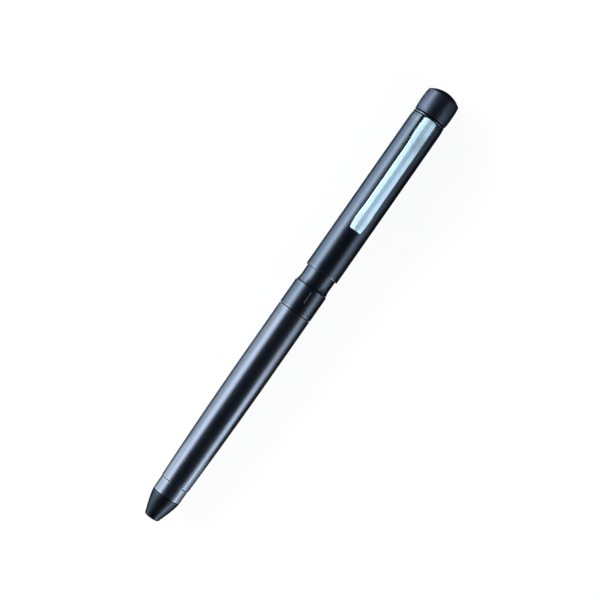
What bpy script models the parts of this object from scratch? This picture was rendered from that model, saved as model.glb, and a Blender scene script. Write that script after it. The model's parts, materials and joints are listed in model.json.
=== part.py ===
"""Multifunction pen: two ballpoint refills and a pencil in one twist-action barrel.

The pen lies along X with its tip at -X, its cap at +X and its clip on top. Every piece is drawn in the
pen's own frame, where Z runs from the tip to the cap, and an empty lays that frame down on its side.
"""
import math

import bmesh
import bpy
from mathutils import Vector

# Sizes are in millimetres, and stations are measured along the pen from its tip. MM makes them metres.
MM = 0.001

# Outside of the pen
PEN_LENGTH = 142.0
NOSE_END = 7.2
NOSE_RADIUS = 4.25
NOSE_DROP = 0.163
NOSE_POWER = 1.3
NOSE_LIP = 0.7
FRONT_RING_START = 7.4
FRONT_RING_END = 11.4
LOWER_START = 11.6
LOWER_END = 68.8
LOWER_RADIUS = 4.97
TAPER_END = 52.0
TAPER_RATE = 0.00036
INDEX_START = 69.0
INDEX_END = 76.7
INDEX_RADIUS = 5.0
NECK_START = 77.0
NECK_END = 81.5
NECK_RADIUS = 4.52
NECK_FLARE_RADIUS = 4.95
COVE_END = 78.9
UPPER_START = 81.7
UPPER_END = 132.7
UPPER_RADIUS = 5.05
UPPER_DRAW_IN_START = 131.4
UPPER_END_RADIUS = 4.95
CAP_START = 133.85
CAP_RADIUS = 5.12
CAP_BULGE = 0.014
CAP_FLAT_RADIUS = 1.2
CAP_CORNER_RADIUS = 0.5
CAP_CORNER = (4.45, 140.1)
CAP_CORNER_ANGLES = (53.0, 8.0)
CAP_SIDE_END = 139.2
CAP_GROOVE_START = 134.15
CAP_GROOVE_END = 134.42
CAP_GROOVE_DEPTH = 0.18
CAP_WIDEST = (CAP_SIDE_END + CAP_GROOVE_END) / 2
CAP_SKIRT_BORE = 4.5
CAP_STEP = 136.4
CAP_SOCKET_BORE = 3.45
CAP_CEILING = 140.0
EDGE = 0.1

# Bores, spigots and bearings
HOLE_RADIUS = 1.6
FUNNEL_START_RADIUS = 2.05
FUNNEL_END = 7.7
FUNNEL_RADIUS = 2.95
SPIGOT_RADIUS = 3.55
NOSE_SPIGOT_END = 10.0
NOSE_SPIGOT_BORE = 3.1
NOSE_SPIGOT_BORE_START = 8.8
FRONT_RING_BORE = 3.65
LOWER_SPIGOT_START = 10.3
LOWER_SPIGOT_BORE = 3.3
LOWER_SPIGOT_BORE_END = 11.9
LOWER_FRONT_BORE = 3.7
LOWER_FRONT_BORE_START = 13.0
LOWER_BORE = 4.3
LOWER_BORE_START = 58.0
UPPER_BORE = 4.4
SLEEVE_START = 60.0
SLEEVE_END = 84.0
SLEEVE_STEP = 76.9
SLEEVE_SEAT = 76.6
SLEEVE_RADIUS = 4.2
SLEEVE_BORE = 3.75
BEARING_END = 82.9
BEARING_RADIUS = 3.8
BEARING_BORE = 3.4
RING_SEAT_RADIUS = 3.65
RETAINER_START = 83.0
RETAINER_END = 83.9
RETAINER_RADIUS = 3.98
RETAINER_BORE = 3.74
COLLAR_BORE = 3.9
COLLAR_STEP = 82.7
COLLAR_STEP_BORE = 4.06
COLLAR_END = 87.5
COLLAR_SPIGOT_RADIUS = 4.32
NECK_END_RADIUS = 4.55
PLATE_START = 75.2
PLATE_END = 76.4
PLATE_RADIUS = 3.65

# Refills and the sliders that push them
PITCH_RADIUS = 2.3
BLACK_ANGLE = 240.0
PENCIL_ANGLE = 120.0
RED_ANGLE = 0.0
STROKE = 5.5
PIVOT = 69.5
BALL_REST = 2.2
TIP_OFFSET_REST = 1.4
REFILL_LENGTH = 67.0
REFILL_RADIUS = 1.175
INK_BORE = 0.8
FOLLOWER = 99.0
FOLLOWER_RADIUS = 0.5
FOLLOWER_REACH = 4.05
ROD_RADIUS = 0.65
ROD_HOLE = 0.75
COLLAR_RADIUS = 0.95
COLLAR_FRONT = 88.0
COLLAR_BACK = 88.8
GUIDE_START = 94.6
GUIDE_END = 111.2
GUIDE_RADIUS = 2.95
GROOVE_WIDTH = 1.5
GROOVE_FLOOR = 1.55
CORE_RADIUS = 1.15
SEAT_START = 76.65
SEAT_RADIUS = 3.3
SPRING_SEAT = 77.6
RETURN_COIL_RADIUS = 0.86
RETURN_WIRE = 0.25
SPRING_PLAY = 0.2
NIPPLE_RADIUS = 0.52
NIPPLE_LENGTH = 2.8
NIPPLE_LEAD_IN = 0.3
NIPPLE_END_RADIUS = 0.32
BLOCK_FLOOR = 1.7
BLOCK_TOP = 2.85
BLOCK_WIDTH = 1.3
BLOCK_AHEAD = 2.0
BLOCK_BEHIND = 5.0

# Ball tip of a refill, measured back from its ball
BALL_RADIUS = 0.18
BALL_END = 0.12
SOCKET_RADIUS = 0.3
SOCKET_END = 0.75
SOCKET_FLARE = 0.33
CONE_START = 0.9
CONE_START_RADIUS = 0.48
CONE_END = 5.5
TIP_RADIUS = 1.1
TIP_SHOULDER = 8.8
TIP_SHANK_RADIUS = 0.72
TIP_LENGTH = 11.5
INK_TUBE_START = 9.1

# Pencil unit, measured back from the end of its lead pipe
PIPE_RADIUS = 0.42
PIPE_BORE = 0.32
PIPE_END = 3.6
PIPE_BORE_END = 6.4
PENCIL_CONE_END = 7.5
PENCIL_BORE = 0.97
PENCIL_BORE_START = 7.3
PENCIL_TIP_END = 16.0
PENCIL_SPIGOT_START = 14.4
PENCIL_SPIGOT_RADIUS = 0.86
PENCIL_TUBE_START = 16.3
PENCIL_TUBE_BORE = 0.72
CHUCK_RING_START = 8.0
CHUCK_RING_END = 9.2
CHUCK_RING_RADIUS = 0.86
CHUCK_RING_BORE = 0.64
CHUCK_START = 7.6
CHUCK_JAW_END = 9.4
CHUCK_JAW_RADIUS = 0.55
CHUCK_NECK_START = 9.6
CHUCK_NECK_RADIUS = 0.46
CHUCK_HEEL_START = 13.2
CHUCK_HEEL_RADIUS = 0.8
CHUCK_END = 14.0
CHUCK_BORE = 0.34
CHUCK_SPRING_START = 9.4
CHUCK_SPRING_LENGTH = 3.6
CHUCK_COIL_RADIUS = 0.68
CHUCK_WIRE = 0.14
LEAD_RADIUS = 0.25
LEAD_START = 0.2
LEAD_END = 60.2

# Cam: a tube whose front edge rises on both sides of its peak, which faces the clip at rest
CAM_INNER = 3.1
CAM_OUTER = 4.25
CAM_END = 114.5
CAM_CLEARANCE = 1.15
CAM_RISE_PER_DEGREE = STROKE / 60.0
CAM_PEAK_ANGLE = 180.0

# Knock, eraser and cap fittings
LINER_START = 115.0
LINER_END = 135.0
LINER_RADIUS = 4.3
LINER_BORE = 3.4
FLANGE_START = 132.95
FLANGE_END = 133.42
FLANGE_RADIUS = 4.95
KNOCK_SEAT = 116.2
KNOCK_COIL_RADIUS = 2.2
KNOCK_WIRE = 0.4
PUSH_ROD_RADIUS = 1.2
PUSH_ROD_HOLE = 1.35
PUSH_ROD_END = 128.0
STOP_START = 113.7
STOP_END = 114.7
STOP_RADIUS = 2.4
HOLDER_START = 122.0
HOLDER_END = 137.5
HOLDER_RADIUS = 3.3
ERASER_START = 128.5
ERASER_END = 139.3
ERASER_RADIUS = 2.45

# Clip
CLIP_HINGE = 127.0
CLIP_HINGE_RADIUS = 5.1
CLIP_UNDERSIDE = 5.8
CLIP_THICKNESS = 0.9
CLIP_WIDTH = 3.7
CLIP_HEAD_EXTRA = 0.2
CLIP_HEAD_BEND = (124.8, 127.4)
CLIP_HEAD_SINK = 0.85
CLIP_BUMP_EXTRA = 0.2
CLIP_BUMP_REACH = (0.6, 3.5)
CLIP_TIP_NARROWS = 0.25
CLIP_TIP_NARROW_END = 98.0
CLIP_CROWN = 0.52
CLIP_FLAT_SHARE = 0.3
CLIP_TIP = 96.4
CLIP_BUMP = 100.4
CLIP_BUMP_UNDERSIDE = 5.18
CLIP_ARM_START = 106.0
CLIP_TONGUE = (127.0, 132.0)
CLIP_TONGUE_FLOOR = 4.15
CLIP_TONGUE_WIDTH = 2.9
CLIP_END = 132.75
CLIP_CHAMFER_START = 132.25
CLIP_CHAMFER = 0.4
POCKET_START = 125.7
POCKET_FLOOR = 3.75
POCKET_WIDTH = 4.8
POCKET_GAP = 0.3

# Number of flats round the outside pieces, the inner pieces and the thin ones
OUTER_SIDES = 40
INNER_SIDES = 28
THIN_SIDES = 14

# The widest ring of the cap touches the table with one of its flats
AXIS_HEIGHT = CAP_RADIUS * math.cos(math.pi / OUTER_SIDES)

PAINTED_BLACK = ((0.012, 0.013, 0.016), 0.42, 0.2)
GUNMETAL = ((0.05, 0.056, 0.075), 0.3, 1.0)
SATIN_STEEL = ((0.62, 0.67, 0.72), 0.28, 1.0)
BRIGHT_STEEL = ((0.55, 0.56, 0.58), 0.25, 1.0)
BRASS = ((0.72, 0.53, 0.24), 0.32, 1.0)
IVORY_PLASTIC = ((0.72, 0.7, 0.64), 0.5, 0.0)
GREY_PLASTIC = ((0.2, 0.21, 0.22), 0.5, 0.0)
BLACK_PLASTIC = ((0.02, 0.02, 0.022), 0.5, 0.0)
RED_PLASTIC = ((0.5, 0.03, 0.03), 0.5, 0.0)
WHITE_RUBBER = ((0.82, 0.82, 0.8), 0.85, 0.0)
GRAPHITE = ((0.04, 0.04, 0.045), 0.6, 0.0)


def clear_scene():
    for old in list(bpy.data.objects):
        bpy.data.objects.remove(old, do_unlink=True)


def new_collection(name):
    collection = bpy.data.collections.new(name)
    bpy.context.scene.collection.children.link(collection)
    return collection


def new_material(name, finish):
    colour, roughness, metallic = finish
    material = bpy.data.materials.new(name + "_finish")
    material.use_nodes = True
    shader = material.node_tree.nodes["Principled BSDF"]
    shader.inputs["Base Color"].default_value = (*colour, 1.0)
    shader.inputs["Roughness"].default_value = roughness
    shader.inputs["Metallic"].default_value = metallic
    material.diffuse_color = (*colour, 1.0)
    return material


def new_empty(name, parent, place=(0.0, 0.0, 0.0)):
    empty = bpy.data.objects.new(name, None)
    parts.objects.link(empty)
    empty.parent = parent
    empty.location = Vector(place) * MM
    return empty


def new_piece(name, data, parent, finish):
    piece = bpy.data.objects.new(name, data)
    parts.objects.link(piece)
    piece.parent = parent
    piece.data.materials.append(new_material(name, finish))
    return piece


def new_cutter(name, data, parent):
    cutter = bpy.data.objects.new(name, data)
    cutters.objects.link(cutter)
    cutter.parent = parent
    cutter.hide_render = True
    cutter.display_type = "WIRE"
    return cutter


def evaluated_mesh(piece):
    depsgraph = bpy.context.evaluated_depsgraph_get()
    return bpy.data.meshes.new_from_object(piece.evaluated_get(depsgraph))


def settle(piece):
    """Apply the piece's modifiers, then shade it smooth with its real edges kept sharp."""
    mesh = evaluated_mesh(piece)
    piece.modifiers.clear()
    piece.data = mesh
    mesh.shade_smooth()
    mesh.set_sharp_from_angle(angle=math.radians(30.0))


def combine(piece, cutter, operation):
    modifier = piece.modifiers.new(cutter.name, "BOOLEAN")
    modifier.operation = operation
    modifier.object = cutter
    modifier.solver = "EXACT"


def arc(centre, radii, start, end, count):
    """Points of an ellipse's arc as (radius, station), from one angle to another."""
    points = []
    for step in range(count):
        angle = math.radians(start + (end - start) * step / (count - 1))
        points.append((centre[0] + radii[0] * math.cos(angle), centre[1] + radii[1] * math.sin(angle)))
    return points


def spread(start, end, count):
    return [start + (end - start) * step / (count - 1) for step in range(count)]


def profile_mesh(name, profile, closed):
    mesh = bpy.data.meshes.new(name)
    edges = [(i, i + 1) for i in range(len(profile) - 1)]
    if closed:
        edges.append((len(profile) - 1, 0))
    mesh.from_pydata([(radius * MM, 0.0, station * MM) for radius, station in profile], edges, [])
    return mesh


def add_screw(piece, sides):
    screw = piece.modifiers.new("turn", "SCREW")
    screw.axis = "Z"
    screw.steps = sides
    screw.render_steps = sides
    screw.use_merge_vertices = True
    screw.merge_threshold = 1e-6


def turned(name, outer, inner, sides, finish, parent):
    """A lathe piece: its outer side runs from the cap end to the tip, its bore runs back again."""
    profile = outer + inner
    closed = all(radius > 0.0 for radius, station in profile)
    piece = new_piece(name, profile_mesh(name, profile, closed), parent, finish)
    piece.rotation_euler.z = math.pi / sides
    add_screw(piece, sides)
    return piece


def box_mesh(name, low, high):
    mesh = bpy.data.meshes.new(name)
    shape = bmesh.new()
    bmesh.ops.create_cube(shape, size=1.0)
    for vertex in shape.verts:
        for axis in range(3):
            middle = (low[axis] + high[axis]) / 2
            vertex.co[axis] = (middle + vertex.co[axis] * (high[axis] - low[axis])) * MM
    shape.to_mesh(mesh)
    shape.free()
    return mesh


def rod_mesh(name, radius, start, end, sides):
    mesh = bpy.data.meshes.new(name)
    shape = bmesh.new()
    bmesh.ops.create_cone(shape, cap_ends=True, segments=sides, radius1=radius * MM,
                          radius2=radius * MM, depth=(end - start) * MM)
    bmesh.ops.translate(shape, verts=shape.verts, vec=(0.0, 0.0, (start + end) / 2 * MM))
    shape.to_mesh(mesh)
    shape.free()
    return mesh


def least_gap(points, wire, points_per_turn):
    """Least clear distance between one turn of a coil and the turns after it."""
    least = min(
        (points[i] - points[j]).length
        for i in range(len(points))
        for j in range(i + points_per_turn // 2, len(points))
    )
    return least - wire


def coil(name, radius, wire, start, end, turns, parent, finish):
    """A compression spring: one wire on a helix, from station to station along its parent's Z."""
    points_per_turn = 8
    count = turns * points_per_turn + 1
    first = start + wire / 2
    rise = (end - start - wire) / (count - 1)
    points = []
    for step in range(count):
        turn = 2 * math.pi * step / points_per_turn
        points.append(Vector((radius * math.cos(turn), radius * math.sin(turn), first + rise * step)))
    print(name, "least gap between turns", round(least_gap(points, wire, points_per_turn), 2), "mm")
    curve = bpy.data.curves.new(name, "CURVE")
    curve.dimensions = "3D"
    curve.bevel_depth = wire / 2 * MM
    curve.bevel_resolution = 1
    curve.use_fill_caps = True
    spline = curve.splines.new("POLY")
    spline.points.add(count - 1)
    for target, point in zip(spline.points, points):
        target.co = (*(point * MM), 1.0)
    return new_piece(name, curve, parent, finish)


def radial_place(name, angle, station):
    """An empty on a slider's own line: X points away from the pen's axis, Z towards the cap."""
    turn = math.radians(angle)
    place = (PITCH_RADIUS * math.cos(turn), PITCH_RADIUS * math.sin(turn), station)
    empty = new_empty(name, pen_axis, place)
    empty.rotation_euler.z = turn
    return empty


def nose_curve(station):
    return NOSE_RADIUS - NOSE_DROP * (NOSE_END - station) ** NOSE_POWER


def lower_curve(station):
    return LOWER_RADIUS - TAPER_RATE * max(0.0, TAPER_END - station) ** 2


def cap_curve(station):
    return CAP_RADIUS - CAP_BULGE * (station - CAP_WIDEST) ** 2


def make_nose_cone():
    outer = [(SPIGOT_RADIUS, NOSE_SPIGOT_END), (SPIGOT_RADIUS, NOSE_END)]
    outer += [(nose_curve(s), s) for s in spread(NOSE_END, 2 * NOSE_LIP, 6)]
    lip_radius = nose_curve(NOSE_LIP) - NOSE_LIP
    outer += arc((lip_radius, NOSE_LIP), (NOSE_LIP, NOSE_LIP), 0.0, -90.0, 4)
    inner = [(HOLE_RADIUS, 0.0), (FUNNEL_START_RADIUS, BALL_REST), (FUNNEL_RADIUS, FUNNEL_END),
             (NOSE_SPIGOT_BORE, NOSE_SPIGOT_BORE_START), (NOSE_SPIGOT_BORE, NOSE_SPIGOT_END)]
    return turned("nose_cone", outer, inner, OUTER_SIDES, PAINTED_BLACK, pen_axis)


def make_front_ring():
    outer = [(NOSE_RADIUS - EDGE, FRONT_RING_END), (NOSE_RADIUS, FRONT_RING_END - EDGE),
             (NOSE_RADIUS, FRONT_RING_START + EDGE), (NOSE_RADIUS - EDGE, FRONT_RING_START)]
    inner = [(FRONT_RING_BORE, FRONT_RING_START), (FRONT_RING_BORE, FRONT_RING_END)]
    return turned("front_ring", outer, inner, OUTER_SIDES, GUNMETAL, pen_axis)


def make_lower_barrel():
    outer = [(LOWER_RADIUS - EDGE, LOWER_END), (LOWER_RADIUS, LOWER_END - EDGE)]
    outer += [(lower_curve(s), s) for s in spread(TAPER_END, LOWER_START + EDGE, 7)]
    outer += [(lower_curve(LOWER_START) - EDGE, LOWER_START), (SPIGOT_RADIUS, LOWER_START),
              (SPIGOT_RADIUS, LOWER_SPIGOT_START)]
    inner = [(LOWER_SPIGOT_BORE, LOWER_SPIGOT_START), (LOWER_SPIGOT_BORE, LOWER_SPIGOT_BORE_END),
             (LOWER_FRONT_BORE, LOWER_FRONT_BORE_START), (LOWER_BORE, LOWER_BORE_START),
             (LOWER_BORE, LOWER_END)]
    return turned("lower_barrel", outer, inner, OUTER_SIDES, GUNMETAL, pen_axis)


def make_index_ring():
    outer = [(INDEX_RADIUS - EDGE, INDEX_END), (INDEX_RADIUS, INDEX_END - EDGE),
             (INDEX_RADIUS, INDEX_START + EDGE), (INDEX_RADIUS - EDGE, INDEX_START)]
    inner = [(LOWER_BORE, INDEX_START), (LOWER_BORE, INDEX_END)]
    return turned("index_ring", outer, inner, OUTER_SIDES, GUNMETAL, pen_axis)


def make_joint_sleeve():
    outer = [(RING_SEAT_RADIUS, SLEEVE_END), (RING_SEAT_RADIUS, BEARING_END), (BEARING_RADIUS, BEARING_END),
             (BEARING_RADIUS, SLEEVE_STEP), (SLEEVE_RADIUS, SLEEVE_STEP), (SLEEVE_RADIUS, SLEEVE_START)]
    inner = [(SLEEVE_BORE, SLEEVE_START), (SLEEVE_BORE, SLEEVE_SEAT), (BEARING_BORE, SLEEVE_SEAT),
             (BEARING_BORE, SLEEVE_END)]
    return turned("joint_sleeve", outer, inner, INNER_SIDES, BRASS, pen_axis)


def make_retaining_ring():
    outer = [(RETAINER_RADIUS, RETAINER_END), (RETAINER_RADIUS, RETAINER_START)]
    inner = [(RETAINER_BORE, RETAINER_START), (RETAINER_BORE, RETAINER_END)]
    return turned("retaining_ring", outer, inner, INNER_SIDES, BRIGHT_STEEL, pen_axis)


def rod_holes(name, start, end):
    """Three clearance holes for the slider rods, cut through a disc between two stations."""
    holes = []
    for angle in (BLACK_ANGLE, PENCIL_ANGLE, RED_ANGLE):
        label = f"{name}_hole_{angle:.0f}"
        hole = new_cutter(label, rod_mesh(label, ROD_HOLE, start, end, THIN_SIDES), pen_axis)
        turn = math.radians(angle)
        hole.location = Vector((math.cos(turn), math.sin(turn), 0.0)) * PITCH_RADIUS * MM
        holes.append(hole)
    return holes


def make_guide_plate():
    outer = [(0.0, PLATE_END), (PLATE_RADIUS, PLATE_END), (PLATE_RADIUS, PLATE_START), (0.0, PLATE_START)]
    plate = turned("guide_plate", outer, [], INNER_SIDES, BRIGHT_STEEL, pen_axis)
    for hole in rod_holes("guide_plate", PLATE_START - 1.0, PLATE_END + 1.0):
        combine(plate, hole, "DIFFERENCE")
    return plate


def make_carriage():
    """The core that the sliders run in: a spring seat, a slim neck and a guide with three grooves."""
    outer = [(0.0, GUIDE_END), (GUIDE_RADIUS, GUIDE_END), (GUIDE_RADIUS, GUIDE_START),
             (CORE_RADIUS, GUIDE_START), (CORE_RADIUS, SPRING_SEAT), (SEAT_RADIUS, SPRING_SEAT),
             (SEAT_RADIUS, SEAT_START), (0.0, SEAT_START)]
    carriage = turned("carriage", outer, [], INNER_SIDES, IVORY_PLASTIC, pen_axis)
    for hole in rod_holes("carriage", SEAT_START - 1.0, SPRING_SEAT + 1.0):
        combine(carriage, hole, "DIFFERENCE")
    for angle in (BLACK_ANGLE, PENCIL_ANGLE, RED_ANGLE):
        label = f"guide_groove_{angle:.0f}"
        low = (GROOVE_FLOOR, -GROOVE_WIDTH / 2, GUIDE_START - 1.0)
        high = (GUIDE_RADIUS + 1.0, GROOVE_WIDTH / 2, GUIDE_END + 1.0)
        groove = new_cutter(label, box_mesh(label, low, high), pen_axis)
        groove.rotation_euler.z = math.radians(angle)
        combine(carriage, groove, "DIFFERENCE")
    return carriage


def make_slider(name, angle, retreat, finish):
    """A rod with the refill's nipple in front, a spring collar, and a guided block with a cam follower."""
    place = radial_place(name + "_line", angle, retreat)
    outer = [(0.0, FOLLOWER), (ROD_RADIUS, FOLLOWER), (ROD_RADIUS, COLLAR_BACK), (COLLAR_RADIUS, COLLAR_BACK),
             (COLLAR_RADIUS, COLLAR_FRONT), (ROD_RADIUS, COLLAR_FRONT), (ROD_RADIUS, PIVOT),
             (NIPPLE_RADIUS, PIVOT), (NIPPLE_RADIUS, PIVOT - NIPPLE_LENGTH + NIPPLE_LEAD_IN),
             (NIPPLE_END_RADIUS, PIVOT - NIPPLE_LENGTH), (0.0, PIVOT - NIPPLE_LENGTH)]
    slider = turned(name, outer, [], THIN_SIDES, finish, place)
    low = (BLOCK_FLOOR - PITCH_RADIUS, -BLOCK_WIDTH / 2, FOLLOWER - BLOCK_AHEAD)
    high = (BLOCK_TOP - PITCH_RADIUS, BLOCK_WIDTH / 2, FOLLOWER + BLOCK_BEHIND)
    block = new_cutter(name + "_block", box_mesh(name + "_block", low, high), place)
    reach = FOLLOWER_REACH - PITCH_RADIUS
    pin = new_cutter(name + "_pin", rod_mesh(name + "_pin", FOLLOWER_RADIUS, 0.0, reach, THIN_SIDES), place)
    pin.location = (0.0, 0.0, FOLLOWER * MM)
    pin.rotation_euler.y = math.pi / 2
    combine(slider, block, "UNION")
    combine(slider, pin, "UNION")
    return slider


def make_return_spring(name, angle, retreat):
    place = radial_place(name + "_line", angle, 0.0)
    start = SPRING_SEAT + SPRING_PLAY
    end = COLLAR_FRONT - SPRING_PLAY + retreat
    return coil(name, RETURN_COIL_RADIUS, RETURN_WIRE, start, end, 6, place, BRIGHT_STEEL)


def refill_pivot(name, angle, retreat, tip_offset):
    """An empty where a refill meets its nipple, leaning so that the tip lies tip_offset off the axis."""
    turn = math.radians(angle)
    pivot = new_empty(name, pen_axis, (PITCH_RADIUS * math.cos(turn), PITCH_RADIUS * math.sin(turn),
                                       PIVOT + retreat))
    lean = math.asin((PITCH_RADIUS - tip_offset) / (PIVOT - BALL_REST))
    pivot.rotation_mode = "AXIS_ANGLE"
    pivot.rotation_axis_angle = (lean, -math.sin(turn), math.cos(turn), 0.0)
    return pivot


def from_ball(profile):
    """Move a profile measured from a refill's point to its place in front of the pivot."""
    return [(radius, station + BALL_REST - PIVOT) for radius, station in profile]


def make_ballpoint(colour_name, finish, pivot):
    tip = [(0.0, TIP_LENGTH), (TIP_SHANK_RADIUS, TIP_LENGTH), (TIP_SHANK_RADIUS, TIP_SHOULDER),
           (TIP_RADIUS, TIP_SHOULDER), (TIP_RADIUS, CONE_END), (CONE_START_RADIUS, CONE_START),
           (SOCKET_FLARE, SOCKET_END), (SOCKET_RADIUS, BALL_END), (BALL_RADIUS, 0.0), (0.0, 0.0)]
    turned(colour_name + "_ball_tip", from_ball(tip), [], THIN_SIDES, BRASS, pivot)
    outer = [(REFILL_RADIUS, REFILL_LENGTH), (REFILL_RADIUS, INK_TUBE_START)]
    inner = [(INK_BORE, INK_TUBE_START), (INK_BORE, REFILL_LENGTH)]
    turned(colour_name + "_ink_tube", from_ball(outer), from_ball(inner), THIN_SIDES, finish, pivot)


def make_pencil(pivot):
    """The pencil unit: a tube for the lead, a cone with its lead pipe, and the chuck that feeds it."""
    outer = [(REFILL_RADIUS, REFILL_LENGTH), (REFILL_RADIUS, PENCIL_TUBE_START),
             (PENCIL_SPIGOT_RADIUS, PENCIL_TUBE_START), (PENCIL_SPIGOT_RADIUS, PENCIL_SPIGOT_START)]
    inner = [(PENCIL_TUBE_BORE, PENCIL_SPIGOT_START), (PENCIL_TUBE_BORE, REFILL_LENGTH)]
    turned("pencil_tube", from_ball(outer), from_ball(inner), THIN_SIDES, GREY_PLASTIC, pivot)
    outer = [(REFILL_RADIUS, PENCIL_TIP_END), (REFILL_RADIUS, PENCIL_CONE_END), (PIPE_RADIUS, PIPE_END),
             (PIPE_RADIUS, 0.0)]
    inner = [(PIPE_BORE, 0.0), (PIPE_BORE, PIPE_BORE_END), (PENCIL_BORE, PENCIL_BORE_START),
             (PENCIL_BORE, PENCIL_TIP_END)]
    turned("pencil_tip", from_ball(outer), from_ball(inner), THIN_SIDES, BRIGHT_STEEL, pivot)
    outer = [(CHUCK_RING_RADIUS, CHUCK_RING_END), (CHUCK_RING_RADIUS, CHUCK_RING_START)]
    inner = [(CHUCK_RING_BORE, CHUCK_RING_START), (CHUCK_RING_BORE, CHUCK_RING_END)]
    turned("chuck_ring", from_ball(outer), from_ball(inner), THIN_SIDES, BRASS, pivot)
    outer = [(CHUCK_HEEL_RADIUS, CHUCK_END), (CHUCK_HEEL_RADIUS, CHUCK_HEEL_START),
             (CHUCK_NECK_RADIUS, CHUCK_HEEL_START), (CHUCK_NECK_RADIUS, CHUCK_NECK_START),
             (CHUCK_JAW_RADIUS, CHUCK_JAW_END), (CHUCK_JAW_RADIUS, CHUCK_START)]
    inner = [(CHUCK_BORE, CHUCK_START), (CHUCK_BORE, CHUCK_END)]
    turned("pencil_chuck", from_ball(outer), from_ball(inner), THIN_SIDES, BRASS, pivot)
    lead = [(0.0, LEAD_END), (LEAD_RADIUS, LEAD_END), (LEAD_RADIUS, LEAD_START), (0.0, LEAD_START)]
    turned("lead", from_ball(lead), [], THIN_SIDES, GRAPHITE, pivot)
    start = CHUCK_SPRING_START + BALL_REST - PIVOT
    coil("chuck_spring", CHUCK_COIL_RADIUS, CHUCK_WIRE, start, start + CHUCK_SPRING_LENGTH, 5, pivot,
         BRIGHT_STEEL)


def make_neck_collar():
    outer = [(COLLAR_SPIGOT_RADIUS, COLLAR_END), (COLLAR_SPIGOT_RADIUS, NECK_END),
             (NECK_END_RADIUS, NECK_END)]
    cove = (NECK_FLARE_RADIUS - NECK_RADIUS, COVE_END - NECK_START)
    outer += arc((NECK_FLARE_RADIUS, COVE_END), cove, 180.0, 270.0, 6)
    inner = [(COLLAR_BORE, NECK_START), (COLLAR_BORE, COLLAR_STEP), (COLLAR_STEP_BORE, COLLAR_STEP),
             (COLLAR_STEP_BORE, COLLAR_END)]
    return turned("neck_collar", outer, inner, OUTER_SIDES, GUNMETAL, pen_axis)


def clip_pocket(name, floor, end):
    """The cutter that makes room for the clip's root, down to a flat floor on the clip side."""
    low = (-UPPER_RADIUS - 2.0, -POCKET_WIDTH / 2, POCKET_START)
    high = (-floor, POCKET_WIDTH / 2, end)
    return new_cutter(name, box_mesh(name, low, high), pen_axis)


def make_upper_barrel():
    """A straight tube, drawn in a little at the cap end and notched there for the clip."""
    outer = [(UPPER_END_RADIUS, UPPER_END), (UPPER_RADIUS, UPPER_DRAW_IN_START),
             (UPPER_RADIUS, UPPER_START + EDGE), (UPPER_RADIUS - EDGE, UPPER_START)]
    inner = [(UPPER_BORE, UPPER_START), (UPPER_BORE, UPPER_END)]
    barrel = turned("upper_barrel", outer, inner, OUTER_SIDES, GUNMETAL, pen_axis)
    combine(barrel, clip_pocket("barrel_notch", UPPER_BORE / 2, UPPER_END + POCKET_GAP), "DIFFERENCE")
    return barrel


def cam_edge(angle):
    """Station of the cam's front edge, which passes just behind each follower at every twist."""
    away = abs((angle - CAM_PEAK_ANGLE + 180.0) % 360.0 - 180.0)
    return FOLLOWER + CAM_CLEARANCE + CAM_RISE_PER_DEGREE * (away - 60.0)


def make_cam_sleeve():
    """A plain tube first, then its front edge is drawn out to the two helical ramps."""
    sides = 48
    front = cam_edge(CAM_PEAK_ANGLE)
    outer = [(CAM_OUTER, CAM_END), (CAM_OUTER, front)]
    inner = [(CAM_INNER, front), (CAM_INNER, CAM_END)]
    cam = turned("cam_sleeve", outer, inner, sides, BLACK_PLASTIC, pen_axis)
    cam.rotation_euler.z = 0.0
    settle(cam)
    middle = (front + CAM_END) / 2 * MM
    for vertex in cam.data.vertices:
        if vertex.co.z < middle:
            vertex.co.z = cam_edge(math.degrees(math.atan2(vertex.co.y, vertex.co.x))) * MM
    return cam


def make_rear_liner():
    """A bush with a thin flange that closes the end of the rear barrel."""
    outer = [(LINER_RADIUS - EDGE, LINER_END), (LINER_RADIUS, LINER_END - EDGE), (LINER_RADIUS, FLANGE_END),
             (FLANGE_RADIUS, FLANGE_END), (FLANGE_RADIUS, FLANGE_START), (LINER_RADIUS, FLANGE_START),
             (LINER_RADIUS, LINER_START)]
    inner = [(PUSH_ROD_HOLE, LINER_START), (PUSH_ROD_HOLE, KNOCK_SEAT), (LINER_BORE, KNOCK_SEAT),
             (LINER_BORE, LINER_END)]
    liner = turned("rear_liner", outer, inner, INNER_SIDES, BLACK_PLASTIC, pen_axis)
    combine(liner, clip_pocket("liner_pocket", POCKET_FLOOR, UPPER_END), "DIFFERENCE")
    return liner


def smooth_between(value, start, end):
    part = min(1.0, max(0.0, (value - start) / (end - start)))
    return part * part * (3.0 - 2.0 * part)


def clip_underside(station):
    """The head is sunk in the barrel's notch. The arm is level, dips to its bump and kicks up at its end."""
    dip = CLIP_UNDERSIDE - CLIP_BUMP_UNDERSIDE
    if station > CLIP_ARM_START:
        return CLIP_UNDERSIDE - CLIP_HEAD_SINK * smooth_between(station, *CLIP_HEAD_BEND)
    if station > CLIP_BUMP:
        return CLIP_UNDERSIDE - dip * (1.0 - smooth_between(station, CLIP_BUMP, CLIP_ARM_START))
    return CLIP_BUMP_UNDERSIDE + dip * smooth_between(CLIP_BUMP - station, 0.0, CLIP_BUMP - CLIP_TIP)


def clip_width(station):
    """Slightly wider at the head and over the bump, and drawn in at the free end."""
    head = CLIP_HEAD_EXTRA * smooth_between(station, *CLIP_HEAD_BEND)
    bump = CLIP_BUMP_EXTRA * (1.0 - smooth_between(abs(station - CLIP_BUMP), *CLIP_BUMP_REACH))
    free_end = CLIP_TIP_NARROWS * (1.0 - smooth_between(station, CLIP_TIP, CLIP_TIP_NARROW_END))
    return CLIP_WIDTH + head + bump - free_end


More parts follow.
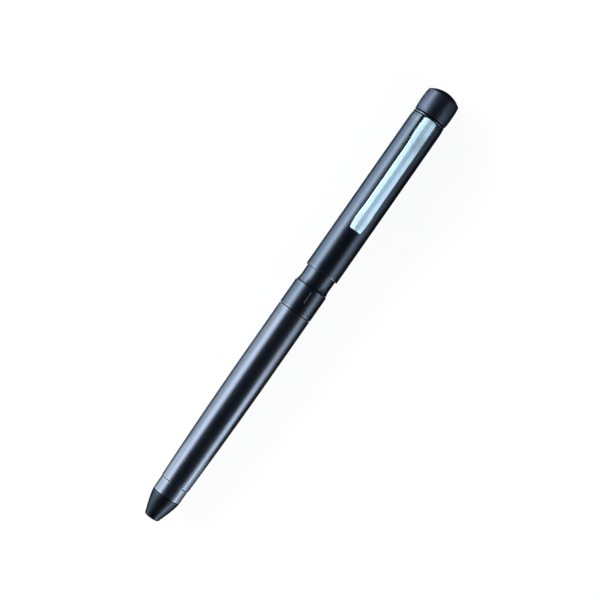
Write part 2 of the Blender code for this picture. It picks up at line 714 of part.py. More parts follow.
def clip_section(station, floor, top, width):
    """One cross-section: a flat underside, straight sides and a narrow flat top between two bevels."""
    half = width / 2
    flat = half * CLIP_FLAT_SHARE
    points = [(-half, floor), (half, floor), (half, top - CLIP_CROWN), (flat, top), (-flat, top),
              (-half, top - CLIP_CROWN)]
    return [hinge_point(station, side, height) for side, height in points]


def hinge_point(station, side, height):
    """A point of the clip, measured from the clip's hinge."""
    return ((CLIP_HINGE_RADIUS - height) * MM, side * MM, (station - CLIP_HINGE) * MM)


def make_clip():
    """A strip joined from section to section, and a tongue under its head that goes down into the barrel."""
    sections = []
    arm = spread(CLIP_TIP, CLIP_ARM_START, 13) + [115.0]
    head = spread(*CLIP_HEAD_BEND, 7) + [CLIP_CHAMFER_START, CLIP_END]
    for station in arm + head:
        floor = clip_underside(station)
        narrow = 2 * CLIP_CHAMFER if station == CLIP_END else 0.0
        sections.append(clip_section(station, floor, floor + CLIP_THICKNESS, clip_width(station) - narrow))
    shape = bmesh.new()
    rings = [[shape.verts.new(point) for point in section] for section in sections]
    for near, far in zip(rings, rings[1:]):
        for i in range(len(near)):
            after = (i + 1) % len(near)
            shape.faces.new((near[i], near[after], far[after], far[i]))
    shape.faces.new(rings[0])
    shape.faces.new(rings[-1])
    bmesh.ops.recalc_face_normals(shape, faces=shape.faces)
    mesh = bpy.data.meshes.new("clip")
    shape.to_mesh(mesh)
    shape.free()
    hinge = new_empty("clip_hinge", pen_axis, (-CLIP_HINGE_RADIUS, 0.0, CLIP_HINGE))
    clip = new_piece("clip", mesh, hinge, SATIN_STEEL)
    tongue_top = clip_underside(CLIP_END) + CLIP_THICKNESS / 3
    low = (CLIP_HINGE_RADIUS - tongue_top, -CLIP_TONGUE_WIDTH / 2, CLIP_TONGUE[0] - CLIP_HINGE)
    high = (CLIP_HINGE_RADIUS - CLIP_TONGUE_FLOOR, CLIP_TONGUE_WIDTH / 2, CLIP_TONGUE[1] - CLIP_HINGE)
    combine(clip, new_cutter("clip_tongue", box_mesh("clip_tongue", low, high), hinge), "UNION")
    return clip


def make_push_rod():
    outer = [(0.0, PUSH_ROD_END), (PUSH_ROD_RADIUS, PUSH_ROD_END), (PUSH_ROD_RADIUS, STOP_END),
             (STOP_RADIUS, STOP_END), (STOP_RADIUS, STOP_START), (0.0, STOP_START)]
    return turned("push_rod", outer, [], THIN_SIDES, IVORY_PLASTIC, pen_axis)


def make_eraser_holder():
    outer = [(HOLDER_RADIUS - EDGE, HOLDER_END), (HOLDER_RADIUS, HOLDER_END - EDGE),
             (HOLDER_RADIUS, HOLDER_START)]
    cup_floor = PUSH_ROD_END + 0.2
    inner = [(PUSH_ROD_RADIUS + EDGE, HOLDER_START), (PUSH_ROD_RADIUS + EDGE, cup_floor),
             (ERASER_RADIUS + EDGE, cup_floor), (ERASER_RADIUS + EDGE, HOLDER_END)]
    return turned("eraser_holder", outer, inner, INNER_SIDES, BRIGHT_STEEL, pen_axis)


def make_eraser():
    rounding = 0.5
    outer = [(0.0, ERASER_END), (ERASER_RADIUS - rounding, ERASER_END)]
    outer += arc((ERASER_RADIUS - rounding, ERASER_END - rounding), (rounding, rounding), 60.0, 0.0, 3)
    outer += [(ERASER_RADIUS, ERASER_START), (0.0, ERASER_START)]
    return turned("eraser", outer, [], INNER_SIDES, WHITE_RUBBER, pen_axis)


def make_push_cap():
    """A barrel-sided cup with a fine groove at its foot and a shallow dome that ends in a small flat."""
    dome_edge, dome_foot = arc(CAP_CORNER, (CAP_CORNER_RADIUS, CAP_CORNER_RADIUS), *CAP_CORNER_ANGLES, 2)[0]
    drop = PEN_LENGTH - dome_foot
    dome_centre = (PEN_LENGTH + dome_foot) / 2 - (dome_edge ** 2 - CAP_FLAT_RADIUS ** 2) / (2 * drop)
    dome_radius = math.hypot(CAP_FLAT_RADIUS, PEN_LENGTH - dome_centre)
    outer = [(0.0, PEN_LENGTH)]
    for radius in spread(CAP_FLAT_RADIUS, dome_edge, 5)[:-1]:
        outer.append((radius, dome_centre + math.sqrt(dome_radius ** 2 - radius ** 2)))
    outer += arc(CAP_CORNER, (CAP_CORNER_RADIUS, CAP_CORNER_RADIUS), *CAP_CORNER_ANGLES, 3)
    outer += [(cap_curve(s), s) for s in spread(CAP_SIDE_END, CAP_GROOVE_END, 5)]
    outer += [(cap_curve(s) - CAP_GROOVE_DEPTH, s) for s in (CAP_GROOVE_END, CAP_GROOVE_START)]
    outer += [(cap_curve(s), s) for s in (CAP_GROOVE_START, CAP_START + EDGE)]
    outer += [(cap_curve(CAP_START) - EDGE, CAP_START)]
    inner = [(CAP_SKIRT_BORE, CAP_START), (CAP_SKIRT_BORE, CAP_STEP), (CAP_SOCKET_BORE, CAP_STEP),
             (CAP_SOCKET_BORE, CAP_CEILING), (0.0, CAP_CEILING)]
    return turned("push_cap", outer, inner, OUTER_SIDES, PAINTED_BLACK, pen_axis)


clear_scene()
parts = new_collection("multifunction_pen")
cutters = new_collection("multifunction_pen_cutters")
pen_axis = new_empty("pen_axis", None, (-PEN_LENGTH / 2, 0.0, AXIS_HEIGHT))
pen_axis.rotation_euler.y = math.pi / 2

make_nose_cone()
make_front_ring()
make_lower_barrel()
make_index_ring()
make_joint_sleeve()
make_retaining_ring()
make_guide_plate()
make_carriage()
make_slider("black_slider", BLACK_ANGLE, 0.0, BLACK_PLASTIC)
make_slider("pencil_slider", PENCIL_ANGLE, 0.0, GREY_PLASTIC)
make_slider("red_slider", RED_ANGLE, STROKE, RED_PLASTIC)
make_return_spring("black_return_spring", BLACK_ANGLE, 0.0)
make_return_spring("pencil_return_spring", PENCIL_ANGLE, 0.0)
make_return_spring("red_return_spring", RED_ANGLE, STROKE)
make_ballpoint("black", BLACK_PLASTIC, refill_pivot("black_pivot", BLACK_ANGLE, 0.0, TIP_OFFSET_REST))
make_ballpoint("red", RED_PLASTIC, refill_pivot("red_pivot", RED_ANGLE, STROKE, PITCH_RADIUS))
make_pencil(refill_pivot("pencil_pivot", PENCIL_ANGLE, 0.0, TIP_OFFSET_REST))
make_neck_collar()
make_upper_barrel()
make_cam_sleeve()
make_rear_liner()
make_clip()
make_push_rod()
make_eraser_holder()
make_eraser()
coil("knock_spring", KNOCK_COIL_RADIUS, KNOCK_WIRE, KNOCK_SEAT + SPRING_PLAY, HOLDER_START - SPRING_PLAY, 5,
     pen_axis, BRIGHT_STEEL)
make_push_cap()

for piece in parts.objects:
    if piece.type == "MESH":
        settle(piece)
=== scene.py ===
"""Looks of a twist-action multifunction pen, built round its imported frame.

The pen lies along X with its tip at -X, its cap at +X and its clip on top. Pieces are drawn in millimetres:
a station is measured along a piece's axis and a radius from it. On the pen's axis stations start at its tip.
"""
import json
import math

import bmesh
import bpy
from mathutils import Matrix, Vector


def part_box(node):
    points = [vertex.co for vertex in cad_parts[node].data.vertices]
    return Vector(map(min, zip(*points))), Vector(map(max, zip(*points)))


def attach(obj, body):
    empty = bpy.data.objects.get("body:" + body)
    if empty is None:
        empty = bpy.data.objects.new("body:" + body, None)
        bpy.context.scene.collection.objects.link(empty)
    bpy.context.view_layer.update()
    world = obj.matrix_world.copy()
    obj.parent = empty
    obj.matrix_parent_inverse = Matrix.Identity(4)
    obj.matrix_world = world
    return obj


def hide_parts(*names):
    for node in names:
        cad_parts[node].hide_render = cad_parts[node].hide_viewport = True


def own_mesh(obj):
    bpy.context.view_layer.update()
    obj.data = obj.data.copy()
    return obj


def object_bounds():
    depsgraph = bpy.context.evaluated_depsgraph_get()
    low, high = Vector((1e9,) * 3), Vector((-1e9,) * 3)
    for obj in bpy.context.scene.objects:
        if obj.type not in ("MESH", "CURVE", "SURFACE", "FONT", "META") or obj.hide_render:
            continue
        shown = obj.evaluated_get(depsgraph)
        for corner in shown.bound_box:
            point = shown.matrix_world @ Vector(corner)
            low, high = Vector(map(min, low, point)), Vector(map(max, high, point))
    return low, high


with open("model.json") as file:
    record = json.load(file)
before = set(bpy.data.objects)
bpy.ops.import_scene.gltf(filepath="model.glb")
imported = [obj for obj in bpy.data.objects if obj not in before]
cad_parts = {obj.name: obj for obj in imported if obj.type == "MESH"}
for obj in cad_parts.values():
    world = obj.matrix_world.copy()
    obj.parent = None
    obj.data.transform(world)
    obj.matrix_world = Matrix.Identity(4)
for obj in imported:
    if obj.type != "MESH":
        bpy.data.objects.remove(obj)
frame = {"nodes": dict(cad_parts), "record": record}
cad_low, cad_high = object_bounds()

MM = 0.001
TIP_X = cad_low.x
AXIS_Z = sum(corner.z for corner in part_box("push_cap")) / 2
PEN_AXIS = Matrix.Translation((TIP_X, 0.0, AXIS_Z))
BODY_OF = {node: body for body, nodes in frame["record"]["behaviour"]["bodies"].items() for node in nodes}


def extent(node):
    """First and last station of a node, and half its width, which is the radius of a round one."""
    low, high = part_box(node)
    return (low.x - TIP_X) / MM, (high.x - TIP_X) / MM, (high.y - low.y) / 2 / MM


# Stations and radii that the frame gives
NOSE_RADIUS = extent("nose_cone")[2]
RING_START, RING_END = extent("front_ring")[:2]
LOWER_SPIGOT_START, LOWER_END, LOWER_RADIUS = extent("lower_barrel")
INDEX_START, INDEX_END, INDEX_RADIUS = extent("index_ring")
SLEEVE_START, SLEEVE_END, SLEEVE_RADIUS = extent("joint_sleeve")
RETAINER_START, RETAINER_END, RETAINER_RADIUS = extent("retaining_ring")
PLATE_START, PLATE_END, PLATE_RADIUS = extent("guide_plate")
SEAT_START, GUIDE_END, SEAT_RADIUS = extent("carriage")
NECK_START, COLLAR_END = extent("neck_collar")[:2]
UPPER_START, UPPER_END, UPPER_RADIUS = extent("upper_barrel")
CAM_START, CAM_END, CAM_OUTER = extent("cam_sleeve")
LINER_START, LINER_END, FLANGE_RADIUS = extent("rear_liner")
STOP_START, PUSH_ROD_END, STOP_RADIUS = extent("push_rod")
HOLDER_START, HOLDER_END, HOLDER_RADIUS = extent("eraser_holder")
ERASER_START, ERASER_END, ERASER_RADIUS = extent("eraser")
CAP_START, CAP_END, CAP_RADIUS = extent("push_cap")
CLIP_TIP, CLIP_END = extent("clip")[:2]

# Seams, rounded edges and wear beside them, with the most of a side that a rounding and its wear may take
SEAM = 0.2
EDGE = 0.07
FINE_EDGE = 0.1
BLOCK_EDGE = 0.15
SOFT_EDGE = 0.2
WIDE_EDGE = 0.3
ROUNDING_SHARE = 0.4
WEAR_REACH = 0.45
WEAR_SHARE = 0.48

# Front half. Corners of an outline are (station, radius) or (station, radius, rounding). Rows are the first
# and last station and how many, and an arc is the same in degrees. A spigot is its length and radius
NOSE_END = RING_START - SEAM
NOSE_DROP = 0.163
NOSE_POWER = 1.3
NOSE_LIP = 0.7
NOSE_LIP_ARC = (0.0, 90.0, 9)
NOSE_ROWS = (NOSE_END - 1.0, NOSE_LIP + 0.15, 16)
NOSE_HOLE = 1.6
NOSE_HOLE_EDGE = 0.06
NOSE_SPIGOT_END = 10.0
FUNNEL = ((2.2, 2.05), (7.7, 2.95), (8.8, 3.1), (NOSE_SPIGOT_END, 3.1))
SPIGOT_RADIUS = 3.5
FRONT_RING_BORE = 3.65
LOWER_START = RING_END + SEAM
LOWER_ROWS = (LOWER_END - 1.5, LOWER_START + 1.5, 40)
TAPER_END = 52.0
TAPER_RATE = 0.00036
LOWER_SPIGOT_BORE = ((10.3, 3.3), (11.9, 3.3), (13.0, 3.7), (58.0, 4.3))
LOWER_BORE = 4.3
THREAD_PITCH = 0.8
THREAD_DEPTH = 0.2
THREAD_FLANK = (0.08, 0.4)
THREAD_ROWS = 12
BARREL_THREAD = (60.8, 68.2)
SLEEVE_THREAD = (60.6, 68.4)
THREAD_SEAM = 0.22
THREAD_SPIGOT = (0.18, 4.7)

# Index line on its ring and a dark mark at its front end, as first and last station and width
INDEX_LINE = (72.4, 75.9, 0.28)
INDEX_MARK = (71.95, 72.3, 0.44)
INDEX_DEPTH = 0.1
INLAY_EDGE = 0.015

# Core
SLEEVE_BEARING = ((SLEEVE_END, 3.62, EDGE), (82.9, 3.62), (82.9, 3.77, EDGE), (76.9, 3.77),
                  (76.9, SLEEVE_RADIUS, EDGE))
SLEEVE_LEAD_IN = 0.25
SLEEVE_BORE = ((SLEEVE_START, 3.75), (76.6, 3.75), (76.6, 3.4), (SLEEVE_END, 3.4))
RETAINER_BORE = 3.74
RETAINER_GAP = 1.6
PITCH_RADIUS = 2.3
BLACK_TURN = math.radians(60.0)
PENCIL_TURN = math.radians(-60.0)
RED_TURN = math.radians(180.0)
ROD_HOLE = 0.75
SPRING_SEAT = 77.6
GUIDE_START = 94.6
GUIDE_RADIUS = 2.93
CORE_RADIUS = 1.14
GROOVE_WIDTH = 1.5
GROOVE_FLOOR = 1.55

# Sliders, with stations measured back from the end of the nipple. A coil is its radius, wire radius and turns
FOLLOWER = 32.3
NIPPLE = ((0.0, 0.0), (0.0, 0.32), (0.3, 0.5), (2.8, 0.5))
ROD = ((2.8, 0.63, 0.08), (21.3, 0.63), (21.3, 0.93, FINE_EDGE), (22.1, 0.93, FINE_EDGE), (22.1, 0.63),
       (FOLLOWER, 0.63), (FOLLOWER, 0.0))
FOLLOWER_PIN = ((0.0, 0.0), (0.0, 0.48), (1.74, 0.48, BLOCK_EDGE), (1.74, 0.0))
BLOCK_LOW = (30.3, -0.64, -0.59)
BLOCK_HIGH = (37.3, 0.64, 0.54)
RETURN_COIL = (0.86, 0.125, 8)

# Refills, with stations measured back from the point
REFILL_RADIUS = 1.16
REFILL_LENGTH = 67.0
REFILL_END_DEPTH = 0.1
INK_TUBE_START = 9.1
INK_TUBE = ((REFILL_LENGTH, 0.8), (REFILL_LENGTH, REFILL_RADIUS, EDGE), (11.4, REFILL_RADIUS), (11.1, 1.04),
            (10.8, 1.04), (10.5, REFILL_RADIUS), (INK_TUBE_START, REFILL_RADIUS, EDGE), (INK_TUBE_START, 0.8))
BALL_RADIUS = 0.27
BALL_ARC = (-80.0, -8.0, 6)
TIP_CONE = ((0.26, 0.3), (0.75, 0.33), (0.9, 0.47, 0.05), (5.5, 1.08, 0.2))
TIP_SHANK = ((8.8, 1.08, FINE_EDGE), (8.8, 0.71), (11.5, 0.71, FINE_EDGE), (11.5, 0.0))
PENCIL_TUBE_START = 14.4
PENCIL_TUBE = ((REFILL_LENGTH, 0.72), (REFILL_LENGTH, REFILL_RADIUS, EDGE), (16.3, REFILL_RADIUS, EDGE),
               (16.3, 0.84), (PENCIL_TUBE_START, 0.84, EDGE), (PENCIL_TUBE_START, 0.72))
PENCIL_CONE = ((16.0, REFILL_RADIUS, EDGE), (7.5, REFILL_RADIUS, 0.3), (3.6, 0.41, 0.3), (0.0, 0.41, 0.04),
               (0.0, 0.32), (6.4, 0.32), (7.3, 0.97), (16.0, 0.97))
CHUCK_RING = (8.0, 9.2, 0.64, 0.85)
CHUCK_JAWS = ((14.0, 0.34), (14.0, 0.79, EDGE), (13.2, 0.79, EDGE), (13.2, 0.45), (9.6, 0.45), (9.4, 0.54),
              (7.6, 0.54, EDGE), (7.6, 0.34))
CHUCK_SLITS = (0.0, 120.0, 240.0)
CHUCK_SLIT_LOW = (7.0, -0.06, 0.1)
CHUCK_SLIT_HIGH = (11.2, 0.06, 1.0)
CHUCK_SPRING = (9.4, 13.0)
CHUCK_COIL = (0.68, 0.07, 7)
LEAD = ((60.2, 0.0), (60.2, 0.245, 0.03), (0.3, 0.245), (0.2, 0.15), (0.2, 0.0))

# Rear half
NECK_SEAM = 0.12
NECK_SEAM_FLOOR = 4.42
NECK_END = UPPER_START - NECK_SEAM
NECK_RADIUS = 4.51
NECK_END_RADIUS = 4.54
NECK_FLARE = 4.93
COVE_END = 78.9
COVE_ARC = (0.0, 90.0, 16)
TURNING_LIP = (NECK_START - INDEX_END - SEAM) / 2
TURNING_SPIGOT = (0.15, 4.7)
COLLAR_RADIUS = 4.3
COLLAR_BORE = 3.9
COLLAR_STEP = ((82.7, COLLAR_BORE), (82.7, 4.06), (COLLAR_END, 4.06))
UPPER_BORE = 4.4
UPPER_EDGE = 0.22
UPPER_DRAW_IN_START = 131.4
UPPER_ROWS = (UPPER_DRAW_IN_START - 2.0, UPPER_START + 1.5, 30)
UPPER_DRAW_IN = ((UPPER_END, UPPER_BORE), (UPPER_END, 4.93, EDGE), (UPPER_DRAW_IN_START, UPPER_RADIUS, 0.4))
CAM_INNER = 3.1
CAM_RAMP_END = 112.0
CAM_RAMP_EDGE = 0.12
CAM_RISE_PER_DEGREE = 5.5 / 60.0
FLANGE = (132.99, 133.42)
LINER_REAR = ((LINER_END, 3.4), (LINER_END, 4.42, EDGE), (FLANGE[1] + 0.11, 4.42), (FLANGE[1] + 0.11, 4.6),
              (FLANGE[1], 4.6), (FLANGE[1], FLANGE_RADIUS, EDGE))
LINER_FRONT = ((FLANGE[0], FLANGE_RADIUS, EDGE), (FLANGE[0], 4.6), (UPPER_END + 0.03, 4.6),
               (UPPER_END + 0.03, 4.28), (LINER_START, 4.28, EDGE))
LINER_BORE = ((LINER_START, 1.35), (116.2, 1.35), (116.2, 3.4))
PUSH_ROD = ((PUSH_ROD_END, 0.0), (PUSH_ROD_END, 1.18, SOFT_EDGE), (114.7, 1.18),
            (114.7, STOP_RADIUS, FINE_EDGE), (STOP_START, STOP_RADIUS, FINE_EDGE), (STOP_START, 0.0))
KNOCK_COIL = (2.2, 0.2, 7)
HOLDER_BORE = 2.55
HOLDER_FOOT = ((HOLDER_START, HOLDER_RADIUS, WIDE_EDGE), (HOLDER_START, 1.3), (128.2, 1.3),
               (128.2, HOLDER_BORE))
HOLDER_BEADS = (130.4, 131.6)
BEAD_DEPTH = 0.16
BEAD_REACH = 0.35
BEAD_FLOOR_REACH = 0.12
ERASER = ((ERASER_END, 0.0), (ERASER_END, ERASER_RADIUS, 0.55), (ERASER_START, ERASER_RADIUS, FINE_EDGE),
          (ERASER_START, 0.0))

# Cap
CAP_BULGE = 0.014
CAP_FLAT_RADIUS = 1.2
CAP_DOME_ROWS = 16
CAP_CORNER = (140.1, 4.43)
CAP_CORNER_RADIUS = 0.5
CAP_CORNER_ARC = (53.0, 8.0, 8)
CAP_SIDE_END = 139.2
CAP_GROOVE = (134.15, 134.42)
CAP_GROOVE_DEPTH = 0.17
CAP_GROOVE_SLOPE = 0.04
CAP_ROWS = (CAP_SIDE_END, CAP_GROOVE[1] + CAP_GROOVE_SLOPE, 16)
CAP_WIDEST = (CAP_SIDE_END + CAP_GROOVE[1]) / 2
CAP_BORE = ((CAP_START, 4.5), (136.4, 4.5), (136.4, 3.45), (140.0, 3.45), (140.0, 0.0))

# Clip
CLIP_UNDERSIDE = 5.8
CLIP_THICKNESS = 0.9
CLIP_WIDTH = 3.69
CLIP_HEAD_EXTRA = 0.03
CLIP_HEAD_BEND = (122.0, 128.6)
CLIP_HEAD_SINK = 0.85
CLIP_BUMP = 100.4
CLIP_BUMP_EXTRA = 0.2
CLIP_BUMP_REACH = (0.6, 3.5)
CLIP_BUMP_UNDERSIDE = 5.18
CLIP_TOP_DIP_SHARE = 0.25
CLIP_TIP_NARROWS = 0.25
CLIP_TIP_NARROW_END = 98.0
CLIP_CROWN = 0.52
CLIP_FLAT_SHARE = 0.3
CLIP_EDGE = 0.09
CLIP_END_ROUNDING = (-0.05, 0.12)
CLIP_ARM_START = 106.0
TONGUE_LOW = (127.0, -1.43, 4.15)
TONGUE_HIGH = (132.0, 1.43)
CLIP_CHAMFER_START = 132.25
CLIP_CHAMFER = 0.3
CLIP_ROWS = ((CLIP_TIP, CLIP_ARM_START, 40), (CLIP_ARM_START + 2.0, CLIP_HEAD_BEND[0] - 1.0, 10),
             (*CLIP_HEAD_BEND, 18), (CLIP_HEAD_BEND[1] + 1.0, CLIP_CHAMFER_START, 5),
             (CLIP_CHAMFER_START + 0.1, CLIP_END, 6))
POCKET_START = 125.7
POCKET_SIDES = (-2.22, 2.62)
POCKET_FLOOR = 3.75
POCKET_CORNER = 0.6

# Sides round large, small and thin pieces and wires, limits of the meshes, and how far a cutter goes past
ROUND_SIDES = 144
SMALL_SIDES = 72
THIN_SIDES = 36
WIRE_SIDES = 12
COIL_POINTS = 30
COIL_CLOSED_RISE = 2.2
BEVEL_ROWS = 5
CUT_PAST = 1.0
SHARP_ANGLE = math.radians(35.0)
MERGE_DISTANCE = 1e-6


# Node trees

def feed(tree, node, inputs):
    """Set a node's inputs to values, or link them to sockets. A node stands for its first output."""
    for key, value in inputs.items():
        if isinstance(value, bpy.types.Node):
            value = value.outputs[0]
        if isinstance(value, bpy.types.NodeSocket):
            tree.links.new(value, node.inputs[key])
        else:
            node.inputs[key].default_value = value


def add(tree, kind, inputs=None, **settings):
    """A new node with its settings and inputs."""
    node = tree.nodes.new(kind)
    for name, value in settings.items():
        setattr(node, name, value)
    feed(tree, node, inputs or {})
    return node


def maths(tree, operation, first, second=0.0, third=0.0):
    return add(tree, "ShaderNodeMath", {0: first, 1: second, 2: third}, operation=operation)


def remap(tree, value, before, after=(0.0, 1.0), **settings):
    """A number carried from one range to another and held at its ends."""
    inputs = {"Value": value, "From Min": before[0], "From Max": before[1],
              "To Min": after[0], "To Max": after[1]}
    return add(tree, "ShaderNodeMapRange", inputs, **settings)


def new_tree(name, inputs):
    tree = bpy.data.node_groups.new(name, "GeometryNodeTree")
    tree.interface.new_socket("Outline", in_out="INPUT", socket_type="NodeSocketGeometry")
    for label, kind in inputs.items():
        tree.interface.new_socket(label, in_out="INPUT", socket_type="NodeSocket" + kind)
    tree.interface.new_socket("Piece", in_out="OUTPUT", socket_type="NodeSocketGeometry")
    return tree, add(tree, "NodeGroupInput").outputs


def end_tree(tree, geometry, finish):
    """Points merged, smooth shading with the real edges kept, then one plain mesh with its finish."""
    closed = add(tree, "GeometryNodeMergeByDistance", {0: geometry, "Distance": MERGE_DISTANCE})
    smooth = add(tree, "GeometryNodeSetShadeSmooth", {0: closed, "Shade Smooth": True}, domain="FACE")
    angle = add(tree, "GeometryNodeInputMeshEdgeAngle").outputs["Unsigned Angle"]
    sharp = maths(tree, "GREATER_THAN", angle, SHARP_ANGLE)
    inputs = {0: smooth, "Selection": sharp, "Shade Smooth": False}
    edged = add(tree, "GeometryNodeSetShadeSmooth", inputs, domain="EDGE")
    real = add(tree, "GeometryNodeRealizeInstances", {0: edged})
    done = add(tree, "GeometryNodeSetMaterial", {0: real, "Material": finish})
    add(tree, "NodeGroupOutput", {0: done})


def make_turning_tree():
    """Turns an outline round the X axis.

    A point's X is its place along the axis and its Z the radius. Its Y is the depth of a thread there, which
    cuts inwards where it is positive and outwards where it is negative.
    """
    tree, given = new_tree("turned_piece", {"Sides": "Int", "Thread Pitch": "Float", "Finish": "Material"})
    size = add(tree, "GeometryNodeAttributeDomainSize", {0: given["Outline"]}, component="MESH")
    rows = size.outputs["Point Count"]
    columns = maths(tree, "ADD", given["Sides"], 1.0)
    inputs = {"Size X": 1.0, "Size Y": 1.0, "Vertices X": rows, "Vertices Y": columns}
    grid = add(tree, "GeometryNodeMeshGrid", inputs)
    position = add(tree, "GeometryNodeInputPosition")
    place = add(tree, "ShaderNodeSeparateXYZ", {0: position}).outputs
    share = maths(tree, "ADD", place["X"], 0.5)
    row = maths(tree, "MULTIPLY", share, maths(tree, "SUBTRACT", rows, 1.0))
    index = add(tree, "FunctionNodeFloatToInt", {0: row}, rounding_mode="ROUND")
    turn = maths(tree, "MULTIPLY", maths(tree, "ADD", place["Y"], 0.5), 2 * math.pi)

    def sample(value, kind):
        """What the outline has at the point of this row."""
        inputs = {"Geometry": given["Outline"], "Value": value, "Index": index}
        return add(tree, "GeometryNodeSampleIndex", inputs, data_type=kind, domain="POINT").outputs["Value"]

    wear = add(tree, "GeometryNodeInputNamedAttribute", {"Name": "wear"}, data_type="FLOAT")
    row_wear = sample(wear.outputs["Attribute"], "FLOAT")
    inputs = {"Geometry": grid, "Name": "wear", "Value": row_wear}
    worn = add(tree, "GeometryNodeStoreNamedAttribute", inputs, data_type="FLOAT", domain="POINT")
    outline = add(tree, "ShaderNodeSeparateXYZ", {0: sample(position, "FLOAT_VECTOR")}).outputs
    along = maths(tree, "DIVIDE", outline["X"], given["Thread Pitch"])
    lead = maths(tree, "SUBTRACT", along, maths(tree, "DIVIDE", turn, 2 * math.pi))
    ridge = maths(tree, "PINGPONG", maths(tree, "FRACT", lead), 0.5)
    groove = remap(tree, ridge, THREAD_FLANK, interpolation_type="SMOOTHSTEP")
    radius = maths(tree, "SUBTRACT", outline["Z"], maths(tree, "MULTIPLY", outline["Y"], groove))
    side = maths(tree, "MULTIPLY", radius, maths(tree, "SINE", turn))
    rise = maths(tree, "MULTIPLY", radius, maths(tree, "COSINE", turn))
    target = add(tree, "ShaderNodeCombineXYZ", {"X": outline["X"], "Y": side, "Z": rise})
    moved = add(tree, "GeometryNodeSetPosition", {"Geometry": worn, "Position": target})
    end_tree(tree, moved, given["Finish"])
    return tree


def make_wire_tree():
    """Draws a round wire along a row of points."""
    tree, given = new_tree("wire_piece", {"Wire Radius": "Float", "Sides": "Int", "Finish": "Material"})
    path = add(tree, "GeometryNodeMeshToCurve", {0: given["Outline"]})
    inputs = {"Resolution": given["Sides"], "Radius": given["Wire Radius"]}
    section = add(tree, "GeometryNodeCurvePrimitiveCircle", inputs, mode="RADIUS")
    inputs = {"Curve": path, "Profile Curve": section, "Fill Caps": True}
    end_tree(tree, add(tree, "GeometryNodeCurveToMesh", inputs), given["Finish"])
    return tree


def run_tree(tree, name, points, wear, place, **inputs):
    """A mesh object shaped by a node tree from a row of points, then moved to its place."""
    mesh = bpy.data.meshes.new(name)
    mesh.from_pydata(points, [(i, i + 1) for i in range(len(points) - 1)], [])
    mesh.attributes.new("wear", "FLOAT", "POINT").data.foreach_set("value", wear)
    piece = new_object(name, mesh)
    modifier = piece.modifiers.new("shape", "NODES")
    modifier.node_group = tree
    for item in tree.interface.items_tree:
        label = item.name.replace(" ", "_").lower()
        if item.in_out == "INPUT" and label in inputs:
            modifier[item.identifier] = inputs[label]
    take_result(piece)
    piece.data.transform(place)
    face_outwards(piece.data)
    return piece


def new_object(name, data):
    made = bpy.data.objects.new(name, data)
    bpy.context.scene.collection.objects.link(made)
    return made


def take_shape(name, shape):
    """An object of what a bmesh holds."""
    mesh = bpy.data.meshes.new(name)
    shape.to_mesh(mesh)
    shape.free()
    return new_object(name, mesh)


def take_result(piece):
    """Replace the piece's mesh by what its modifiers make of it."""
    depsgraph = bpy.context.evaluated_depsgraph_get()
    mesh = bpy.data.meshes.new_from_object(piece.evaluated_get(depsgraph))
    piece.modifiers.clear()
    piece.data = mesh


def face_outwards(mesh):
    shape = bmesh.new()
    shape.from_mesh(mesh)
    bmesh.ops.recalc_face_normals(shape, faces=shape.faces)
    shape.to_mesh(mesh)
    shape.free()


# Shapes

def steps(start, end, count):
    return [start + (end - start) * i / (count - 1) for i in range(count)]


def arc(centre, radii, start, end, count):
    """Points of an ellipse's arc as (station, radius), with the angle measured from the outward direction."""
    angles = [math.radians(angle) for angle in steps(start, end, count)]
    return [(centre[0] + radii[0] * math.sin(a), centre[1] + radii[1] * math.cos(a)) for a in angles]


def thread(start, end, radius, depth):
    """Rows of a thread that fades in and out over its first and last turn."""
    rows = []
    for station in steps(start, end, round((end - start) / THREAD_PITCH * THREAD_ROWS)):
        fade = min(1.0, (station - start) / THREAD_PITCH, (end - station) / THREAD_PITCH)
        rows.append((station, radius, 0.0, depth * fade))
    return rows


def soften(corners, closed=True, count=5):
    """An outline of (station, radius, wear, thread depth) points with its corners rounded.

    A corner is (station, radius), with its rounding as a third number and a thread's depth as a fourth. A
    rounded corner is worn, and the wear fades out along the sides that meet there.
    """
    points = []
    total = len(corners)
    for i, corner in enumerate(corners):
        here = Vector(corner[:2])
        rounding = corner[2] if len(corner) > 2 else 0.0
        depth = corner[3] if len(corner) > 3 else 0.0
        if not rounding or not (closed or 0 < i < total - 1):
            points.append((*here, 0.0, depth))
            continue
        before = Vector(corners[i - 1][:2]) - here
        after = Vector(corners[(i + 1) % total][:2]) - here
        start, end = (here + side.normalized() * min(rounding, side.length * ROUNDING_SHARE)
                      for side in (before, after))
        fade_in, fade_out = (here + side.normalized() * min(rounding + WEAR_REACH, side.length * WEAR_SHARE)
                             for side in (before, after))
        points.append((*fade_in, 0.0, depth))
        for t in steps(0.0, 1.0, count):
            points.append((*(start * (1 - t) ** 2 + here * 2 * t * (1 - t) + end * t ** 2), 1.0, depth))
        points.append((*fade_out, 0.0, depth))
    if closed:
        points.append(points[0])
    return points


def turned(name, corners, finish, sides=ROUND_SIDES, place=PEN_AXIS):
    """A piece turned round the axis that its place lays down. An outline that starts on the axis is open."""
    outline = soften(corners, closed=corners[0][1] > 0.0)
    points = [(station * MM, depth * MM, radius * MM) for station, radius, wear, depth in outline]
    return run_tree(TURNING, name, points, [wear for station, radius, wear, depth in outline], place,
                    sides=sides, thread_pitch=THREAD_PITCH * MM, finish=finish)


